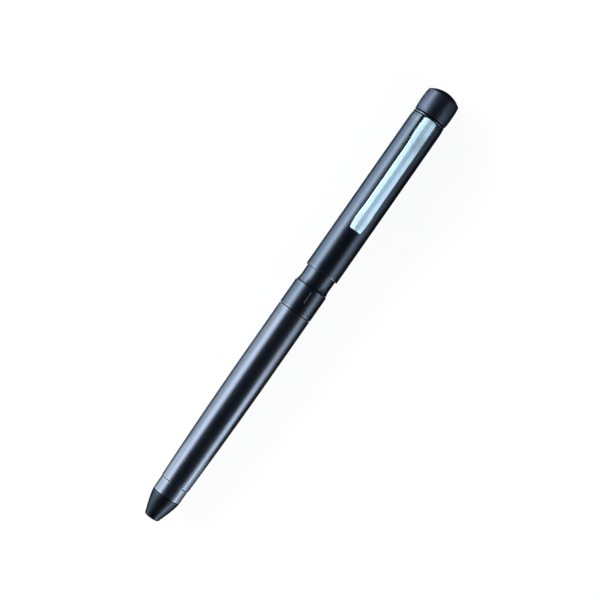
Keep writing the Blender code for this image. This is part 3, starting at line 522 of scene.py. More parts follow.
def coil(name, start, end, radius, wire, turns, place):
    """A compression spring whose first and last turns lie closed."""
    closed_rise = wire * COIL_CLOSED_RISE
    open_rise = (end - start - 2 * wire - 2 * closed_rise) / (turns - 2)
    points = []
    for step in range(turns * COIL_POINTS + 1):
        turn = step / COIL_POINTS
        opened = min(max(turn - 1.0, 0.0), turns - 2.0)
        station = start + wire + open_rise * opened + closed_rise * (turn - opened)
        angle = 2 * math.pi * turn
        points.append((station * MM, radius * math.sin(angle) * MM, radius * math.cos(angle) * MM))
    return run_tree(WIRE, name, points, [0.0] * len(points), place, wire_radius=wire * MM, sides=WIRE_SIDES,
                    finish=SPRING_WIRE)


def ring(start, end, bore, radius):
    """Corners of a plain ring, or of a disc where its bore is 0."""
    return [(end, bore), (end, radius, EDGE), (start, radius, EDGE), (start, bore)]


def block(name, low, high, place=PEN_AXIS, rounding=0.0, upright_only=False):
    """A box from one corner to another, as (station, side, height over the axis), with rounded edges."""
    shape = bmesh.new()
    bmesh.ops.create_cube(shape, size=1.0)
    size = [b - a for a, b in zip(low, high)]
    bmesh.ops.scale(shape, verts=shape.verts, vec=size)
    bmesh.ops.translate(shape, verts=shape.verts, vec=[(a + b) / 2 for a, b in zip(low, high)])
    if rounding:
        rounded = [edge for edge in shape.edges
                   if not upright_only or abs(edge.verts[0].co.z - edge.verts[1].co.z) > size[2] / 2]
        bmesh.ops.bevel(shape, geom=rounded, offset=rounding, segments=BEVEL_ROWS, profile=0.5,
                        affect="EDGES")
    bmesh.ops.transform(shape, matrix=place @ Matrix.Scale(MM, 4), verts=shape.verts)
    return take_shape(name, shape)


def combine(piece, other, operation="DIFFERENCE"):
    """Cut another shape away from a piece, or join it on as a union."""
    modifier = piece.modifiers.new("combine", "BOOLEAN")
    modifier.operation = operation
    modifier.solver = "EXACT"
    modifier.object = other
    take_result(piece)
    bpy.data.objects.remove(other, do_unlink=True)
    piece.data.shade_smooth()
    piece.data.set_sharp_from_angle(angle=SHARP_ANGLE)


def settle(piece, node):
    """Let a piece stand for a node, on its body."""
    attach(piece, BODY_OF[node])
    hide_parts(node)


# Finishes

WHITE = (1.0, 1.0, 1.0)
RIM_TINT = (0.2, 0.2, 0.2)
REAR_COLOUR = (0.046, 0.062, 0.085)
# Near-black painted shade for parts that sit in shadow inside seams and gaps
PAINTED_SHADE = (0.004, 0.004, 0.005, 1.0)
BAND_REACH = 30.0
BAND_GAP = 0.01
# Stations where the brass sleeve shows in the barrel's seams and is painted dark as shade
SLEEVE_SHADE_BANDS = ((68.6, 69.2), (76.5, 77.2))
NOISE_RANGE = (0.3, 0.7)
NOISE_DETAIL = 3.0
ROUGHNESS_SWING = 0.04

# Grains to the metre along X, Y and Z, and a relief's strength and depth
LATHE_LINES = (5000.0, 70.0, 70.0)
LATHE_CLOUDS = (120.0, 120.0, 120.0)
LATHE_LINE_SHARE = 0.6
LATHE_RELIEF = (0.12, 0.004)
CLIP_LINES = (60.0, 7000.0, 7000.0)
CLIP_CLOUDS = (150.0, 300.0, 300.0)
CLIP_SHADES = (0.92, 1.07)
CLIP_RELIEF = (0.1, 0.004)
MOULD_GRAIN = (5000.0, 5000.0, 5000.0)
MOULD_CLOUDS = (180.0, 180.0, 180.0)
MOULD_SHADES = (0.85, 1.15)
MOULD_RELIEF = (0.15, 0.006)


def new_finish(name, colour, roughness, metallic=0.0):
    material = bpy.data.materials.new(name)
    material.use_nodes = True
    tree = material.node_tree
    shader = tree.nodes["Principled BSDF"]
    feed(tree, shader, {"Base Color": (*colour, 1.0), "Roughness": roughness, "Metallic": metallic})
    return material, tree, shader


def grain(tree, scale):
    place = add(tree, "ShaderNodeTexCoord").outputs["Object"]
    mapped = add(tree, "ShaderNodeMapping", {"Vector": place, "Scale": scale})
    inputs = {"Vector": mapped, "Scale": 1.0, "Detail": NOISE_DETAIL}
    return add(tree, "ShaderNodeTexNoise", inputs)


def vary(tree, noise, middle):
    """A number that a noise swings a little about its middle."""
    return remap(tree, noise, NOISE_RANGE, (middle - ROUGHNESS_SWING, middle + ROUGHNESS_SWING))


def relief(tree, noise, strength, depth):
    inputs = {"Height": noise, "Strength": strength, "Distance": depth * MM}
    return add(tree, "ShaderNodeBump", inputs)


def blend(tree, share, first, second):
    return add(tree, "ShaderNodeMix", {0: share, 6: first, 7: second}, data_type="RGBA").outputs[2]


def shade(colour, factor):
    return (*(channel * factor for channel in colour), 1.0)


def uneven(tree, noise, colour, low, high):
    """A colour that a noise swings between a darker and a lighter shade of it."""
    return blend(tree, noise, shade(colour, low), shade(colour, high))


def wear_and_shade(tree, tint, noise, worn, shade_bands):
    """Show a worn colour in patches along the rounded edges, and paint dark shade in seams between given
    stations.
    """
    wear = add(tree, "ShaderNodeAttribute", attribute_name="wear").outputs["Fac"]
    tint = blend(tree, maths(tree, "MULTIPLY", wear, noise), tint, worn)
    # Painted shade: near-black bands where a part sits in the shadow of a seam or gap
    for start, end in shade_bands:
        place = add(tree, "ShaderNodeTexCoord").outputs["Object"]
        along = add(tree, "ShaderNodeSeparateXYZ", {0: place}).outputs["X"]
        middle = TIP_X + (start + end) / 2 * MM
        inside = maths(tree, "COMPARE", along, middle, (end - start) / 2 * MM)
        tint = blend(tree, inside, tint, PAINTED_SHADE)
    return tint


def shade_all_but(start, end):
    """Bands of painted shade over the whole of a piece but the part between two stations."""
    return (start - BAND_REACH, start - BAND_GAP), (end + BAND_GAP, end + BAND_REACH)


def brushed_round(name, colour, roughness, contrast=0.12, worn=1.5, rim=WHITE, shade_bands=()):
    """Metal turned on a lathe: fine lines run round the piece, and its edges are rubbed bright."""
    material, tree, shader = new_finish(name, colour, roughness, 1.0)
    lines = grain(tree, LATHE_LINES)
    clouds = grain(tree, LATHE_CLOUDS)
    mixed = maths(tree, "MULTIPLY", clouds, 1 - LATHE_LINE_SHARE)
    mixed = maths(tree, "MULTIPLY_ADD", lines, LATHE_LINE_SHARE, mixed)
    tint = uneven(tree, mixed, colour, 1 - contrast, 1 + contrast)
    feed(tree, shader, {"Base Color": wear_and_shade(tree, tint, clouds, shade(colour, worn), shade_bands),
                        "Roughness": vary(tree, mixed, roughness),
                        "Normal": relief(tree, lines, *LATHE_RELIEF), "Specular Tint": (*rim, 1.0)})
    return material


def brushed_along(name, colour, roughness, metallic):
    """Satin metal with fine lines along the pen."""
    material, tree, shader = new_finish(name, colour, roughness, metallic)
    lines = grain(tree, CLIP_LINES)
    feed(tree, shader, {"Base Color": uneven(tree, lines, colour, *CLIP_SHADES),
                        "Roughness": vary(tree, grain(tree, CLIP_CLOUDS), roughness),
                        "Normal": relief(tree, lines, *CLIP_RELIEF)})
    return material


def moulded(name, colour, roughness, metallic=0.0, sheen=0.5, worn=1.6, rim=WHITE, shade_bands=()):
    """Plastic, rubber or a dark coat with a faint fine grain."""
    material, tree, shader = new_finish(name, colour, roughness, metallic)
    clouds = grain(tree, MOULD_CLOUDS)
    tint = uneven(tree, clouds, colour, *MOULD_SHADES)
    feed(tree, shader, {"Base Color": wear_and_shade(tree, tint, clouds, shade(colour, worn), shade_bands),
                        "Roughness": vary(tree, clouds, roughness),
                        "Normal": relief(tree, grain(tree, MOULD_GRAIN), *MOULD_RELIEF),
                        "Specular IOR Level": sheen, "Specular Tint": (*rim, 1.0)})
    return material


TURNING = make_turning_tree()
WIRE = make_wire_tree()
GUNMETAL = brushed_round("front_gunmetal", (0.066, 0.083, 0.11), 0.3, rim=RIM_TINT)
DARK_GUNMETAL = brushed_round("rear_gunmetal", REAR_COLOUR, 0.3, rim=RIM_TINT)
# The index ring's spigots, which sit in the seams beside it, are painted dark as shade.
INDEX_GUNMETAL = brushed_round("index_gunmetal", REAR_COLOUR, 0.3, rim=RIM_TINT,
                               shade_bands=shade_all_but(INDEX_START, INDEX_END + TURNING_LIP))
NOSE_COAT = moulded("dark_nose_coat", (0.017, 0.023, 0.031), 0.4, metallic=1.0, rim=RIM_TINT)
CAP_COAT = moulded("dark_cap_coat", (0.044, 0.058, 0.086), 0.39, metallic=1.0, rim=RIM_TINT)
# The bush is painted dark as shade everywhere but its flange, where it lies in the notch under the clip.
BUSH_COAT = moulded("dark_bush_coat", REAR_COLOUR, 0.35, metallic=1.0, rim=RIM_TINT,
                    shade_bands=shade_all_but(*FLANGE))
CLIP_SATIN = brushed_along("satin_clip", (0.57, 0.82, 1.0), 0.54, metallic=0.5)
STEEL = brushed_round("turned_steel", (0.56, 0.57, 0.59), 0.28, worn=1.2)
SPRING_WIRE = brushed_round("spring_wire", (0.5, 0.51, 0.53), 0.32, contrast=0.08)
# The brass sleeve is painted dark as shade where it shows in the seams.
BRASS = brushed_round("turned_brass", (0.72, 0.53, 0.24), 0.3, worn=1.15, shade_bands=SLEEVE_SHADE_BANDS)
IVORY = moulded("ivory_acetal", (0.72, 0.7, 0.64), 0.45, worn=1.05)
GREY = moulded("grey_moulding", (0.2, 0.21, 0.22), 0.45, worn=1.2)
BLACK = moulded("black_moulding", (0.02, 0.02, 0.022), 0.45)
RED = moulded("red_moulding", (0.5, 0.03, 0.03), 0.4, worn=1.15)
RUBBER = moulded("white_rubber", (0.8, 0.8, 0.78), 0.85, sheen=0.2, worn=0.85)
GRAPHITE = moulded("graphite", (0.04, 0.04, 0.045), 0.5)
INDEX_PAINT = moulded("index_paint", (0.042, 0.054, 0.07), 0.6)
INDEX_DARK = moulded("index_dark", (0.004, 0.004, 0.006), 0.6, sheen=0.2)


# Front half

def nose_radius(station):
    return NOSE_RADIUS - NOSE_DROP * (NOSE_END - station) ** NOSE_POWER


def make_nose_cone():
    lip = nose_radius(NOSE_LIP) - NOSE_LIP
    outline = [(NOSE_SPIGOT_END, SPIGOT_RADIUS, EDGE), (NOSE_END, SPIGOT_RADIUS),
               (NOSE_END, NOSE_RADIUS, EDGE)]
    outline += [(s, nose_radius(s)) for s in steps(*NOSE_ROWS)]
    outline += arc((NOSE_LIP, lip), (-NOSE_LIP, NOSE_LIP), *NOSE_LIP_ARC)
    outline += [(0.0, NOSE_HOLE + NOSE_HOLE_EDGE), (NOSE_HOLE_EDGE, NOSE_HOLE), *FUNNEL]
    settle(turned("nose", outline, NOSE_COAT), "nose_cone")


def make_front_ring():
    outline = ring(RING_START, RING_END, FRONT_RING_BORE, NOSE_RADIUS)
    settle(turned("nose_ring", outline, GUNMETAL), "front_ring")


def lower_radius(station):
    return LOWER_RADIUS - TAPER_RATE * max(0.0, TAPER_END - station) ** 2


def make_lower_barrel():
    end = INDEX_START - THREAD_SEAM
    outline = [(end, LOWER_BORE, EDGE), (end, LOWER_RADIUS, EDGE)]
    outline += [(s, lower_radius(s)) for s in steps(*LOWER_ROWS)]
    outline += [(LOWER_START, lower_radius(LOWER_START), EDGE), (LOWER_START, SPIGOT_RADIUS),
                (LOWER_SPIGOT_START, SPIGOT_RADIUS), *LOWER_SPIGOT_BORE]
    outline += thread(*BARREL_THREAD, LOWER_BORE, -THREAD_DEPTH)
    settle(turned("front_barrel_tube", outline, GUNMETAL), "lower_barrel")


def make_index_ring():
    end = INDEX_END + TURNING_LIP
    length, radius = TURNING_SPIGOT
    outline = [(end + length, LOWER_BORE), (end + length, radius), (end, radius),
               (end, INDEX_RADIUS, SOFT_EDGE), (INDEX_START, INDEX_RADIUS, EDGE)]
    length, radius = THREAD_SPIGOT
    outline += [(INDEX_START, radius), (INDEX_START - length, radius), (INDEX_START - length, LOWER_BORE)]
    band = turned("index_band", outline, INDEX_GUNMETAL)
    floor = INDEX_RADIUS - INDEX_DEPTH
    inlays = (("index_line", INDEX_LINE, INDEX_PAINT, "ivory_plastic"),
              ("index_mark", INDEX_MARK, INDEX_DARK, "black_plastic"))
    for name, (start, end, width), finish, slot in inlays:
        low = (start, -width / 2, floor)
        combine(band, block(name + "_cutter", low, (end, width / 2, INDEX_RADIUS + CUT_PAST)))
        inlay = block(name, low, (end, width / 2, INDEX_RADIUS - INDEX_DEPTH / 3), rounding=INLAY_EDGE)
        inlay.data.materials.append(finish)
        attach(inlay, "core")
    settle(band, "index_ring")


# Core that joins the halves

def make_joint_sleeve():
    """The brass sleeve, with a thread for the front barrel and a bearing and ring seat for the rear half."""
    rows = thread(*SLEEVE_THREAD, SLEEVE_RADIUS, THREAD_DEPTH)[::-1]
    outline = [*SLEEVE_BEARING, *rows, (SLEEVE_START, SLEEVE_RADIUS - SLEEVE_LEAD_IN), *SLEEVE_BORE]
    settle(turned("threaded_sleeve", outline, BRASS), "joint_sleeve")


def make_retaining_ring():
    """A sprung ring with a gap."""
    snap_ring = turned("snap_ring", ring(RETAINER_START, RETAINER_END, RETAINER_BORE, RETAINER_RADIUS), STEEL)
    low = (RETAINER_START - CUT_PAST, -RETAINER_GAP / 2, -RETAINER_RADIUS - CUT_PAST)
    combine(snap_ring, block("ring_gap", low, (RETAINER_END + CUT_PAST, RETAINER_GAP / 2, 0.0)))
    settle(snap_ring, "retaining_ring")


def slider_line(turn):
    """The line that a slider runs on, with its Z pointing away from the pen's axis."""
    return PEN_AXIS @ Matrix.Rotation(turn, 4, "X") @ Matrix.Translation((0.0, 0.0, PITCH_RADIUS * MM))


def drill_rod_holes(piece, start, end):
    start -= CUT_PAST
    end += CUT_PAST
    for turn in (BLACK_TURN, PENCIL_TURN, RED_TURN):
        outline = [(start, 0.0), (start, ROD_HOLE), (end, ROD_HOLE), (end, 0.0)]
        combine(piece, turned("rod_hole", outline, STEEL, THIN_SIDES, slider_line(turn)))


def make_guide_plate():
    outline = ring(PLATE_START, PLATE_END, 0.0, PLATE_RADIUS)
    plate = turned("guide_washer", outline, STEEL, SMALL_SIDES)
    drill_rod_holes(plate, PLATE_START, PLATE_END)
    settle(plate, "guide_plate")


def make_carriage():
    """The moulded core: a spring seat with rod holes, a slim neck and a guide with three grooves."""
    outline = [(GUIDE_END, 0.0), (GUIDE_END, GUIDE_RADIUS, SOFT_EDGE),
               (GUIDE_START, GUIDE_RADIUS, SOFT_EDGE), (GUIDE_START, CORE_RADIUS, WIDE_EDGE),
               (SPRING_SEAT, CORE_RADIUS, SOFT_EDGE), (SPRING_SEAT, SEAT_RADIUS, FINE_EDGE),
               (SEAT_START, SEAT_RADIUS, FINE_EDGE), (SEAT_START, 0.0)]
    carriage = turned("slider_carriage", outline, IVORY, SMALL_SIDES)
    drill_rod_holes(carriage, SEAT_START, SPRING_SEAT)
    for turn in (BLACK_TURN, PENCIL_TURN, RED_TURN):
        low = (GUIDE_START - CUT_PAST, -GROOVE_WIDTH / 2, GROOVE_FLOOR)
        high = (GUIDE_END + CUT_PAST, GROOVE_WIDTH / 2, GUIDE_RADIUS + CUT_PAST)
        groove = block("guide_groove", low, high, PEN_AXIS @ Matrix.Rotation(turn, 4, "X"))
        combine(carriage, groove)
    settle(carriage, "carriage")


def make_slider(colour, turn, finish):
    """A rod with the refill's nipple in front, a spring collar, and a guided block with a cam follower."""
    node = colour + "_slider"
    place = slider_line(turn) @ Matrix.Translation((extent(node)[0] * MM, 0.0, 0.0))
    slider = turned(colour + "_slide_rod", NIPPLE + ROD, finish, THIN_SIDES, place)
    combine(slider, block("guided_block", BLOCK_LOW, BLOCK_HIGH, place, rounding=BLOCK_EDGE), "UNION")
    pin_place = place @ Matrix.Translation((FOLLOWER * MM, 0.0, 0.0)) @ Matrix.Rotation(-math.pi / 2, 4, "Y")
    combine(slider, turned("follower_pin", FOLLOWER_PIN, finish, THIN_SIDES, pin_place), "UNION")
    settle(slider, node)


def make_return_spring(colour, turn, joint=None):
    """The spring round a slider rod. It closes up as its slider goes forward."""
    node = colour + "_return_spring"
    start, end = extent(node)[:2]
    spring = coil(colour + "_rod_spring", start, end, *RETURN_COIL, slider_line(turn))
    settle(spring, node)
    if joint:
        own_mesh(spring)


def refill_axis(node, tube_start):
    """The axis of a refill, through the middles of its tube's ends. Its origin is at the refill's point."""
    corners = [vertex.co for vertex in frame["nodes"][node].data.vertices]
    middles = []
    for end in (min(corner.x for corner in corners), max(corner.x for corner in corners)):
        near = [corner for corner in corners if abs(corner.x - end) < REFILL_END_DEPTH * MM]
        middles.append((Vector(min(c[i] for c in near) for i in range(3))
                        + Vector(max(c[i] for c in near) for i in range(3))) / 2)
    along = (middles[1] - middles[0]).normalized()
    aside = Vector((0.0, 0.0, 1.0)).cross(along).normalized()
    turn = Matrix((along, aside, along.cross(aside))).transposed().to_4x4()
    return Matrix.Translation(middles[0] - along * tube_start * MM) @ turn


def make_ballpoint(colour, finish):
    """A ballpoint refill: a brass tip with its ball, and an ink tube crimped on the tip's shank."""
    place = refill_axis(colour + "_ink_tube", INK_TUBE_START)
    ball = arc((BALL_RADIUS, 0.0), (BALL_RADIUS, BALL_RADIUS), *BALL_ARC)
    outline = [(0.0, 0.0), *ball, *TIP_CONE, *TIP_SHANK]
    settle(turned(colour + "_writing_tip", outline, BRASS, THIN_SIDES, place), colour + "_ball_tip")
    settle(turned(colour + "_ink_reservoir", INK_TUBE, finish, THIN_SIDES, place), colour + "_ink_tube")


def make_pencil():
    """The pencil unit: a tube for the lead, a cone with its lead pipe, and the chuck that feeds it."""
    place = refill_axis("pencil_tube", PENCIL_TUBE_START)
    settle(turned("lead_barrel", PENCIL_TUBE, GREY, THIN_SIDES, place), "pencil_tube")
    settle(turned("pencil_cone", PENCIL_CONE, STEEL, THIN_SIDES, place), "pencil_tip")
    settle(turned("jaw_ring", ring(*CHUCK_RING), BRASS, THIN_SIDES, place), "chuck_ring")
    chuck = turned("jaw_chuck", CHUCK_JAWS, BRASS, THIN_SIDES, place)
    for turn in CHUCK_SLITS:
        slit_place = place @ Matrix.Rotation(math.radians(turn), 4, "X")
        combine(chuck, block("jaw_slit", CHUCK_SLIT_LOW, CHUCK_SLIT_HIGH, slit_place))
    settle(chuck, "pencil_chuck")
    settle(coil("jaw_spring", *CHUCK_SPRING, *CHUCK_COIL, place), "chuck_spring")
    settle(turned("lead_stick", LEAD, GRAPHITE, THIN_SIDES, place), "lead")


# Rear half

def make_neck_collar():
    start = NECK_START - TURNING_LIP
    shoulder = UPPER_START - NECK_SEAM / 4
    outline = [(COLLAR_END, COLLAR_RADIUS), (shoulder, COLLAR_RADIUS), (shoulder, NECK_SEAM_FLOOR),
               (NECK_END, NECK_SEAM_FLOOR), (NECK_END, NECK_END_RADIUS, EDGE)]
    cove = (start - COVE_END, NECK_RADIUS - NECK_FLARE)
    outline += arc((COVE_END, NECK_FLARE), cove, *COVE_ARC)
    settle(turned("coved_neck", [*outline, (start, COLLAR_BORE), *COLLAR_STEP], DARK_GUNMETAL), "neck_collar")


def clip_pocket(name, floor, end):
    low = (POCKET_START, POCKET_SIDES[0], floor)
    high = (end, POCKET_SIDES[1], UPPER_RADIUS + 2 * CUT_PAST)
    return block(name, low, high, rounding=POCKET_CORNER, upright_only=True)


def make_upper_barrel():
    middle = [(s, UPPER_RADIUS) for s in steps(*UPPER_ROWS)]
    front = [(UPPER_START, UPPER_RADIUS, UPPER_EDGE), (UPPER_START, UPPER_BORE)]
    barrel = turned("rear_barrel_tube", [*UPPER_DRAW_IN, *middle, *front], DARK_GUNMETAL)
    combine(barrel, clip_pocket("barrel_notch", UPPER_BORE / 2, UPPER_END + 2 * CUT_PAST))
    settle(barrel, "upper_barrel")


def make_rear_liner():
    """A bush with a thin flange that closes the end of the rear barrel."""
    liner = turned("rear_bush", LINER_REAR + LINER_FRONT + LINER_BORE, BUSH_COAT)
    combine(liner, clip_pocket("bush_pocket", POCKET_FLOOR, UPPER_END))
    settle(liner, "rear_liner")


def make_cam_sleeve():
    """A plain tube, whose front edge is then drawn out to two helical ramps that start on the clip side."""
    front = CAM_START + CAM_RAMP_EDGE
    outline = [(CAM_END, CAM_INNER), (CAM_END, CAM_OUTER, EDGE), (CAM_RAMP_END, CAM_OUTER),
               (front, CAM_OUTER), (CAM_START, CAM_OUTER - CAM_RAMP_EDGE),
               (CAM_START, CAM_INNER + CAM_RAMP_EDGE), (front, CAM_INNER), (CAM_RAMP_END, CAM_INNER)]
    cam = turned("cam_tube", outline, BLACK)
    ramp_x = TIP_X + (front + CAM_RAMP_EDGE) * MM
    for vertex in cam.data.vertices:
        if vertex.co.x < ramp_x:
            away = abs(math.degrees(math.atan2(vertex.co.y, vertex.co.z - AXIS_Z)))
            vertex.co.x += CAM_RISE_PER_DEGREE * away * MM
    cam.data.set_sharp_from_angle(angle=SHARP_ANGLE)
    settle(cam, "cam_sleeve")


# Knock under the cap

def make_knock():
    """A rod with its stop, a drawn tube with two rolled grooves over the eraser's foot, and their spring."""
    settle(turned("knock_rod", PUSH_ROD, IVORY, SMALL_SIDES), "push_rod")
    floor = HOLDER_RADIUS - BEAD_DEPTH
    outline = [(HOLDER_END, HOLDER_BORE, EDGE), (HOLDER_END, HOLDER_RADIUS, EDGE)]
    for middle in HOLDER_BEADS[::-1]:
        outline += [(middle + BEAD_REACH, HOLDER_RADIUS), (middle + BEAD_FLOOR_REACH, floor, FINE_EDGE),
                    (middle - BEAD_FLOOR_REACH, floor, FINE_EDGE), (middle - BEAD_REACH, HOLDER_RADIUS)]
    settle(turned("eraser_ferrule", [*outline, *HOLDER_FOOT], STEEL, SMALL_SIDES), "eraser_holder")
    settle(turned("rubber_eraser", ERASER, RUBBER, SMALL_SIDES), "eraser")
    start, end = extent("knock_spring")[:2]
    spring = coil("knock_coil", start, end, *KNOCK_COIL, PEN_AXIS)
    settle(spring, "knock_spring")
    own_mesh(spring)


def cap_radius(station):
    return CAP_RADIUS - CAP_BULGE * (station - CAP_WIDEST) ** 2


def make_push_cap():
    corner = arc(CAP_CORNER, (CAP_CORNER_RADIUS, CAP_CORNER_RADIUS), *CAP_CORNER_ARC)
    dome_foot, dome_edge = corner[0]
    drop = CAP_END - dome_foot
    dome_centre = (CAP_END + dome_foot) / 2 - (dome_edge ** 2 - CAP_FLAT_RADIUS ** 2) / (2 * drop)
    dome_size = math.hypot(CAP_FLAT_RADIUS, CAP_END - dome_centre)
    outline = [(CAP_END, 0.0)]
    for radius in steps(CAP_FLAT_RADIUS, dome_edge, CAP_DOME_ROWS)[:-1]:
        outline.append((dome_centre + math.sqrt(dome_size ** 2 - radius ** 2), radius))
    outline += corner
    outline += [(s, cap_radius(s)) for s in steps(*CAP_ROWS)]
    outline += [(s, cap_radius(s) - CAP_GROOVE_DEPTH) for s in CAP_GROOVE[::-1]]
    outline += [(CAP_GROOVE[0] - CAP_GROOVE_SLOPE, cap_radius(CAP_GROOVE[0])),
                (CAP_START, cap_radius(CAP_START), EDGE), *CAP_BORE]
    settle(turned("domed_cap", outline, CAP_COAT), "push_cap")


# Clip

def ease(value, start, end):
    part = min(1.0, max(0.0, (value - start) / (end - start)))
    return part * part * (3.0 - 2.0 * part)


def clip_underside(station):
    """The head is sunk in the barrel's notch. The arm is level, dips to its bump and kicks up at its end."""
    dip = CLIP_UNDERSIDE - CLIP_BUMP_UNDERSIDE
    if station > CLIP_ARM_START:
        return CLIP_UNDERSIDE - CLIP_HEAD_SINK * ease(station, *CLIP_HEAD_BEND)
    if station > CLIP_BUMP:
        return CLIP_UNDERSIDE - dip * (1.0 - ease(station, CLIP_BUMP, CLIP_ARM_START))
    return CLIP_BUMP_UNDERSIDE + dip * ease(CLIP_BUMP - station, 0.0, CLIP_BUMP - CLIP_TIP)


def clip_top(station):
    """The bump is formed downwards, so the top follows the dip of the underside only in part."""
    dip = CLIP_UNDERSIDE - clip_underside(station)
    share = 1.0 if station > CLIP_ARM_START else CLIP_TOP_DIP_SHARE
    return CLIP_UNDERSIDE + CLIP_THICKNESS - dip * share


def clip_width(station):
    head = CLIP_HEAD_EXTRA * ease(station, *CLIP_HEAD_BEND)
    bump = CLIP_BUMP_EXTRA * (1.0 - ease(abs(station - CLIP_BUMP), *CLIP_BUMP_REACH))
    free_end = CLIP_TIP_NARROWS * (1.0 - ease(station, CLIP_TIP, CLIP_TIP_NARROW_END))
    return CLIP_WIDTH + head + bump - free_end


def clip_section(station, floor, top, width):
    """One cross-section: a flat underside, straight sides and a narrow flat top between two bevels."""
    half = width / 2
    flat = half * CLIP_FLAT_SHARE
    corners = [(-half, floor, CLIP_EDGE), (half, floor, CLIP_EDGE), (half, top - CLIP_CROWN, CLIP_EDGE),
               (flat, top, CLIP_EDGE), (-flat, top, CLIP_EDGE), (-half, top - CLIP_CROWN, CLIP_EDGE)]
    outline = soften(corners, count=4)[:-1]
    return [PEN_AXIS @ (Vector((station, side, height)) * MM) for side, height, wear, depth in outline]


def make_clip():
    """A strip lofted through its cross-sections, with a tongue under its head that goes into the barrel."""
    sections = []
    for station in [s for rows in CLIP_ROWS for s in steps(*rows)]:
        chamfer = CLIP_CHAMFER * max(0.0, (station - CLIP_CHAMFER_START) / (CLIP_END - CLIP_CHAMFER_START))
        from_end = min(station - CLIP_TIP, CLIP_END - station)
        inset = CLIP_EDGE * (1.0 - ease(from_end, *CLIP_END_ROUNDING))
        sections.append(clip_section(station, clip_underside(station) + inset, clip_top(station) - inset,
                                     clip_width(station) - 2 * (chamfer + inset)))
    shape = bmesh.new()
    rings = [[shape.verts.new(point) for point in section] for section in sections]
    for near, far in zip(rings, rings[1:]):
        for i in range(len(near)):
            after = (i + 1) % len(near)
            shape.faces.new((near[i], near[after], far[after], far[i]))
    shape.faces.new(rings[0])
    shape.faces.new(rings[-1])
    bmesh.ops.recalc_face_normals(shape, faces=shape.faces)
    clip = take_shape("pocket_clip", shape)
    clip.data.materials.append(CLIP_SATIN)
    high = (*TONGUE_HIGH, clip_underside(CLIP_END) + CLIP_THICKNESS / 3)
    combine(clip, block("clip_tongue", TONGUE_LOW, high, rounding=BLOCK_EDGE), "UNION")
    settle(clip, "clip")


make_nose_cone()
make_front_ring()
make_lower_barrel()
make_index_ring()
make_joint_sleeve()
make_retaining_ring()
make_guide_plate()
make_carriage()
make_slider("black", BLACK_TURN, BLACK)
make_slider("red", RED_TURN, RED)
make_slider("pencil", PENCIL_TURN, GREY)
make_return_spring("black", BLACK_TURN, "black_slide")
make_return_spring("red", RED_TURN)
make_return_spring("pencil", PENCIL_TURN, "pencil_slide")
make_ballpoint("black", BLACK)
make_ballpoint("red", RED)
make_pencil()
make_neck_collar()
make_upper_barrel()
make_rear_liner()
make_cam_sleeve()
make_knock()
make_push_cap()
make_clip()


# Floor, light and camera

FLOOR_SIZE = 40.0
FLOOR_GREY = (0.2, 0.2, 0.2)
FLOOR_FADE = (0.15, 0.5)
FLOOR_GLOW = (0.88, 1.0)
ROOM_COLOUR = (0.04, 0.046, 0.056)
WALL_TOP = (0.09, 0.15)
BOX_DISTANCE = 0.45
TABLE_LAMP_TINT = (1.0, 0.92, 0.8)
TABLE_LAMP_Z = 0.0006
CARD_COLOUR = (0.03, 0.03, 0.035)
CARD_Z = 0.0005

# Side of the pen, elevation in degrees, height, first and last X, and radiance
SOFT_BOXES = {
    "left_nose_lamp": (1, 19.0, 0.238, -0.3, -0.095, 9.3),
    "left_front_lamp": (1, 22.6, 0.3, -0.095, 0.0, 9.3),
    "left_rear_lamp": (1, 17.3, 0.245, 0.0, 0.088, 7.6),
    "left_cap_lamp": (1, 13.8, 0.187, 0.088, 0.45, 7.6),
    "right_nose_lamp": (-1, 18.0, 0.25, -0.6, -0.22, 11.0),
    "right_front_lamp": (-1, 7.0, 0.25, -0.22, -0.1, 9.2),
    "right_middle_lamp": (-1, 18.5, 0.26, -0.1, -0.04, 9.2),
    "right_rear_lamp": (-1, 28.0, 0.2, -0.04, 0.06, 2.4),
    "clip_lamp": (-1, 42.0, 0.1, 0.05, 0.21, 2.2),
}

# Side of the pen, first and last X, near and far edge, and radiance
TABLE_LAMPS = {
    "front_table_lamp": (1, -0.2, -0.05, 0.009, 0.36, 6.2),
    "rear_table_lamp": (1, -0.05, 0.1, 0.009, 0.36, 3.4),
    "right_table_lamp": (-1, -0.085, -0.053, 0.0135, 0.06, 3.6),
}

# Two corners as (x, y)
DARK_CARDS = {"right_card": ((-1.0, -1.0), (1.0, -0.009)), "cap_card": ((0.075, -0.009), (1.0, 1.0))}


def seen(tree):
    """1 for what the camera sees, straight or by way of metal or glass, and 0 for other light."""
    path = add(tree, "ShaderNodeLightPath").outputs
    mirrored = maths(tree, "MAXIMUM", path["Is Camera Ray"], path["Is Glossy Ray"])
    return maths(tree, "MAXIMUM", mirrored, path["Is Transmission Ray"])


def make_floor():
    """A grey floor that shows as white, a little less so round the pen, and keeps the pen's shadow."""
    bpy.ops.mesh.primitive_plane_add(size=FLOOR_SIZE)
    floor = bpy.context.object
    floor.name = "floor"
    material, tree, shader = new_finish("pale_floor", FLOOR_GREY, 1.0)
    place = add(tree, "ShaderNodeTexCoord").outputs["Object"]
    distance = add(tree, "ShaderNodeVectorMath", {0: place}, operation="LENGTH").outputs["Value"]
    glow = maths(tree, "MULTIPLY", seen(tree), remap(tree, distance, FLOOR_FADE, FLOOR_GLOW))
    feed(tree, shader, {"Specular IOR Level": 0.0, "Emission Color": (*WHITE, 1.0),
                        "Emission Strength": glow})
    floor.data.materials.append(material)


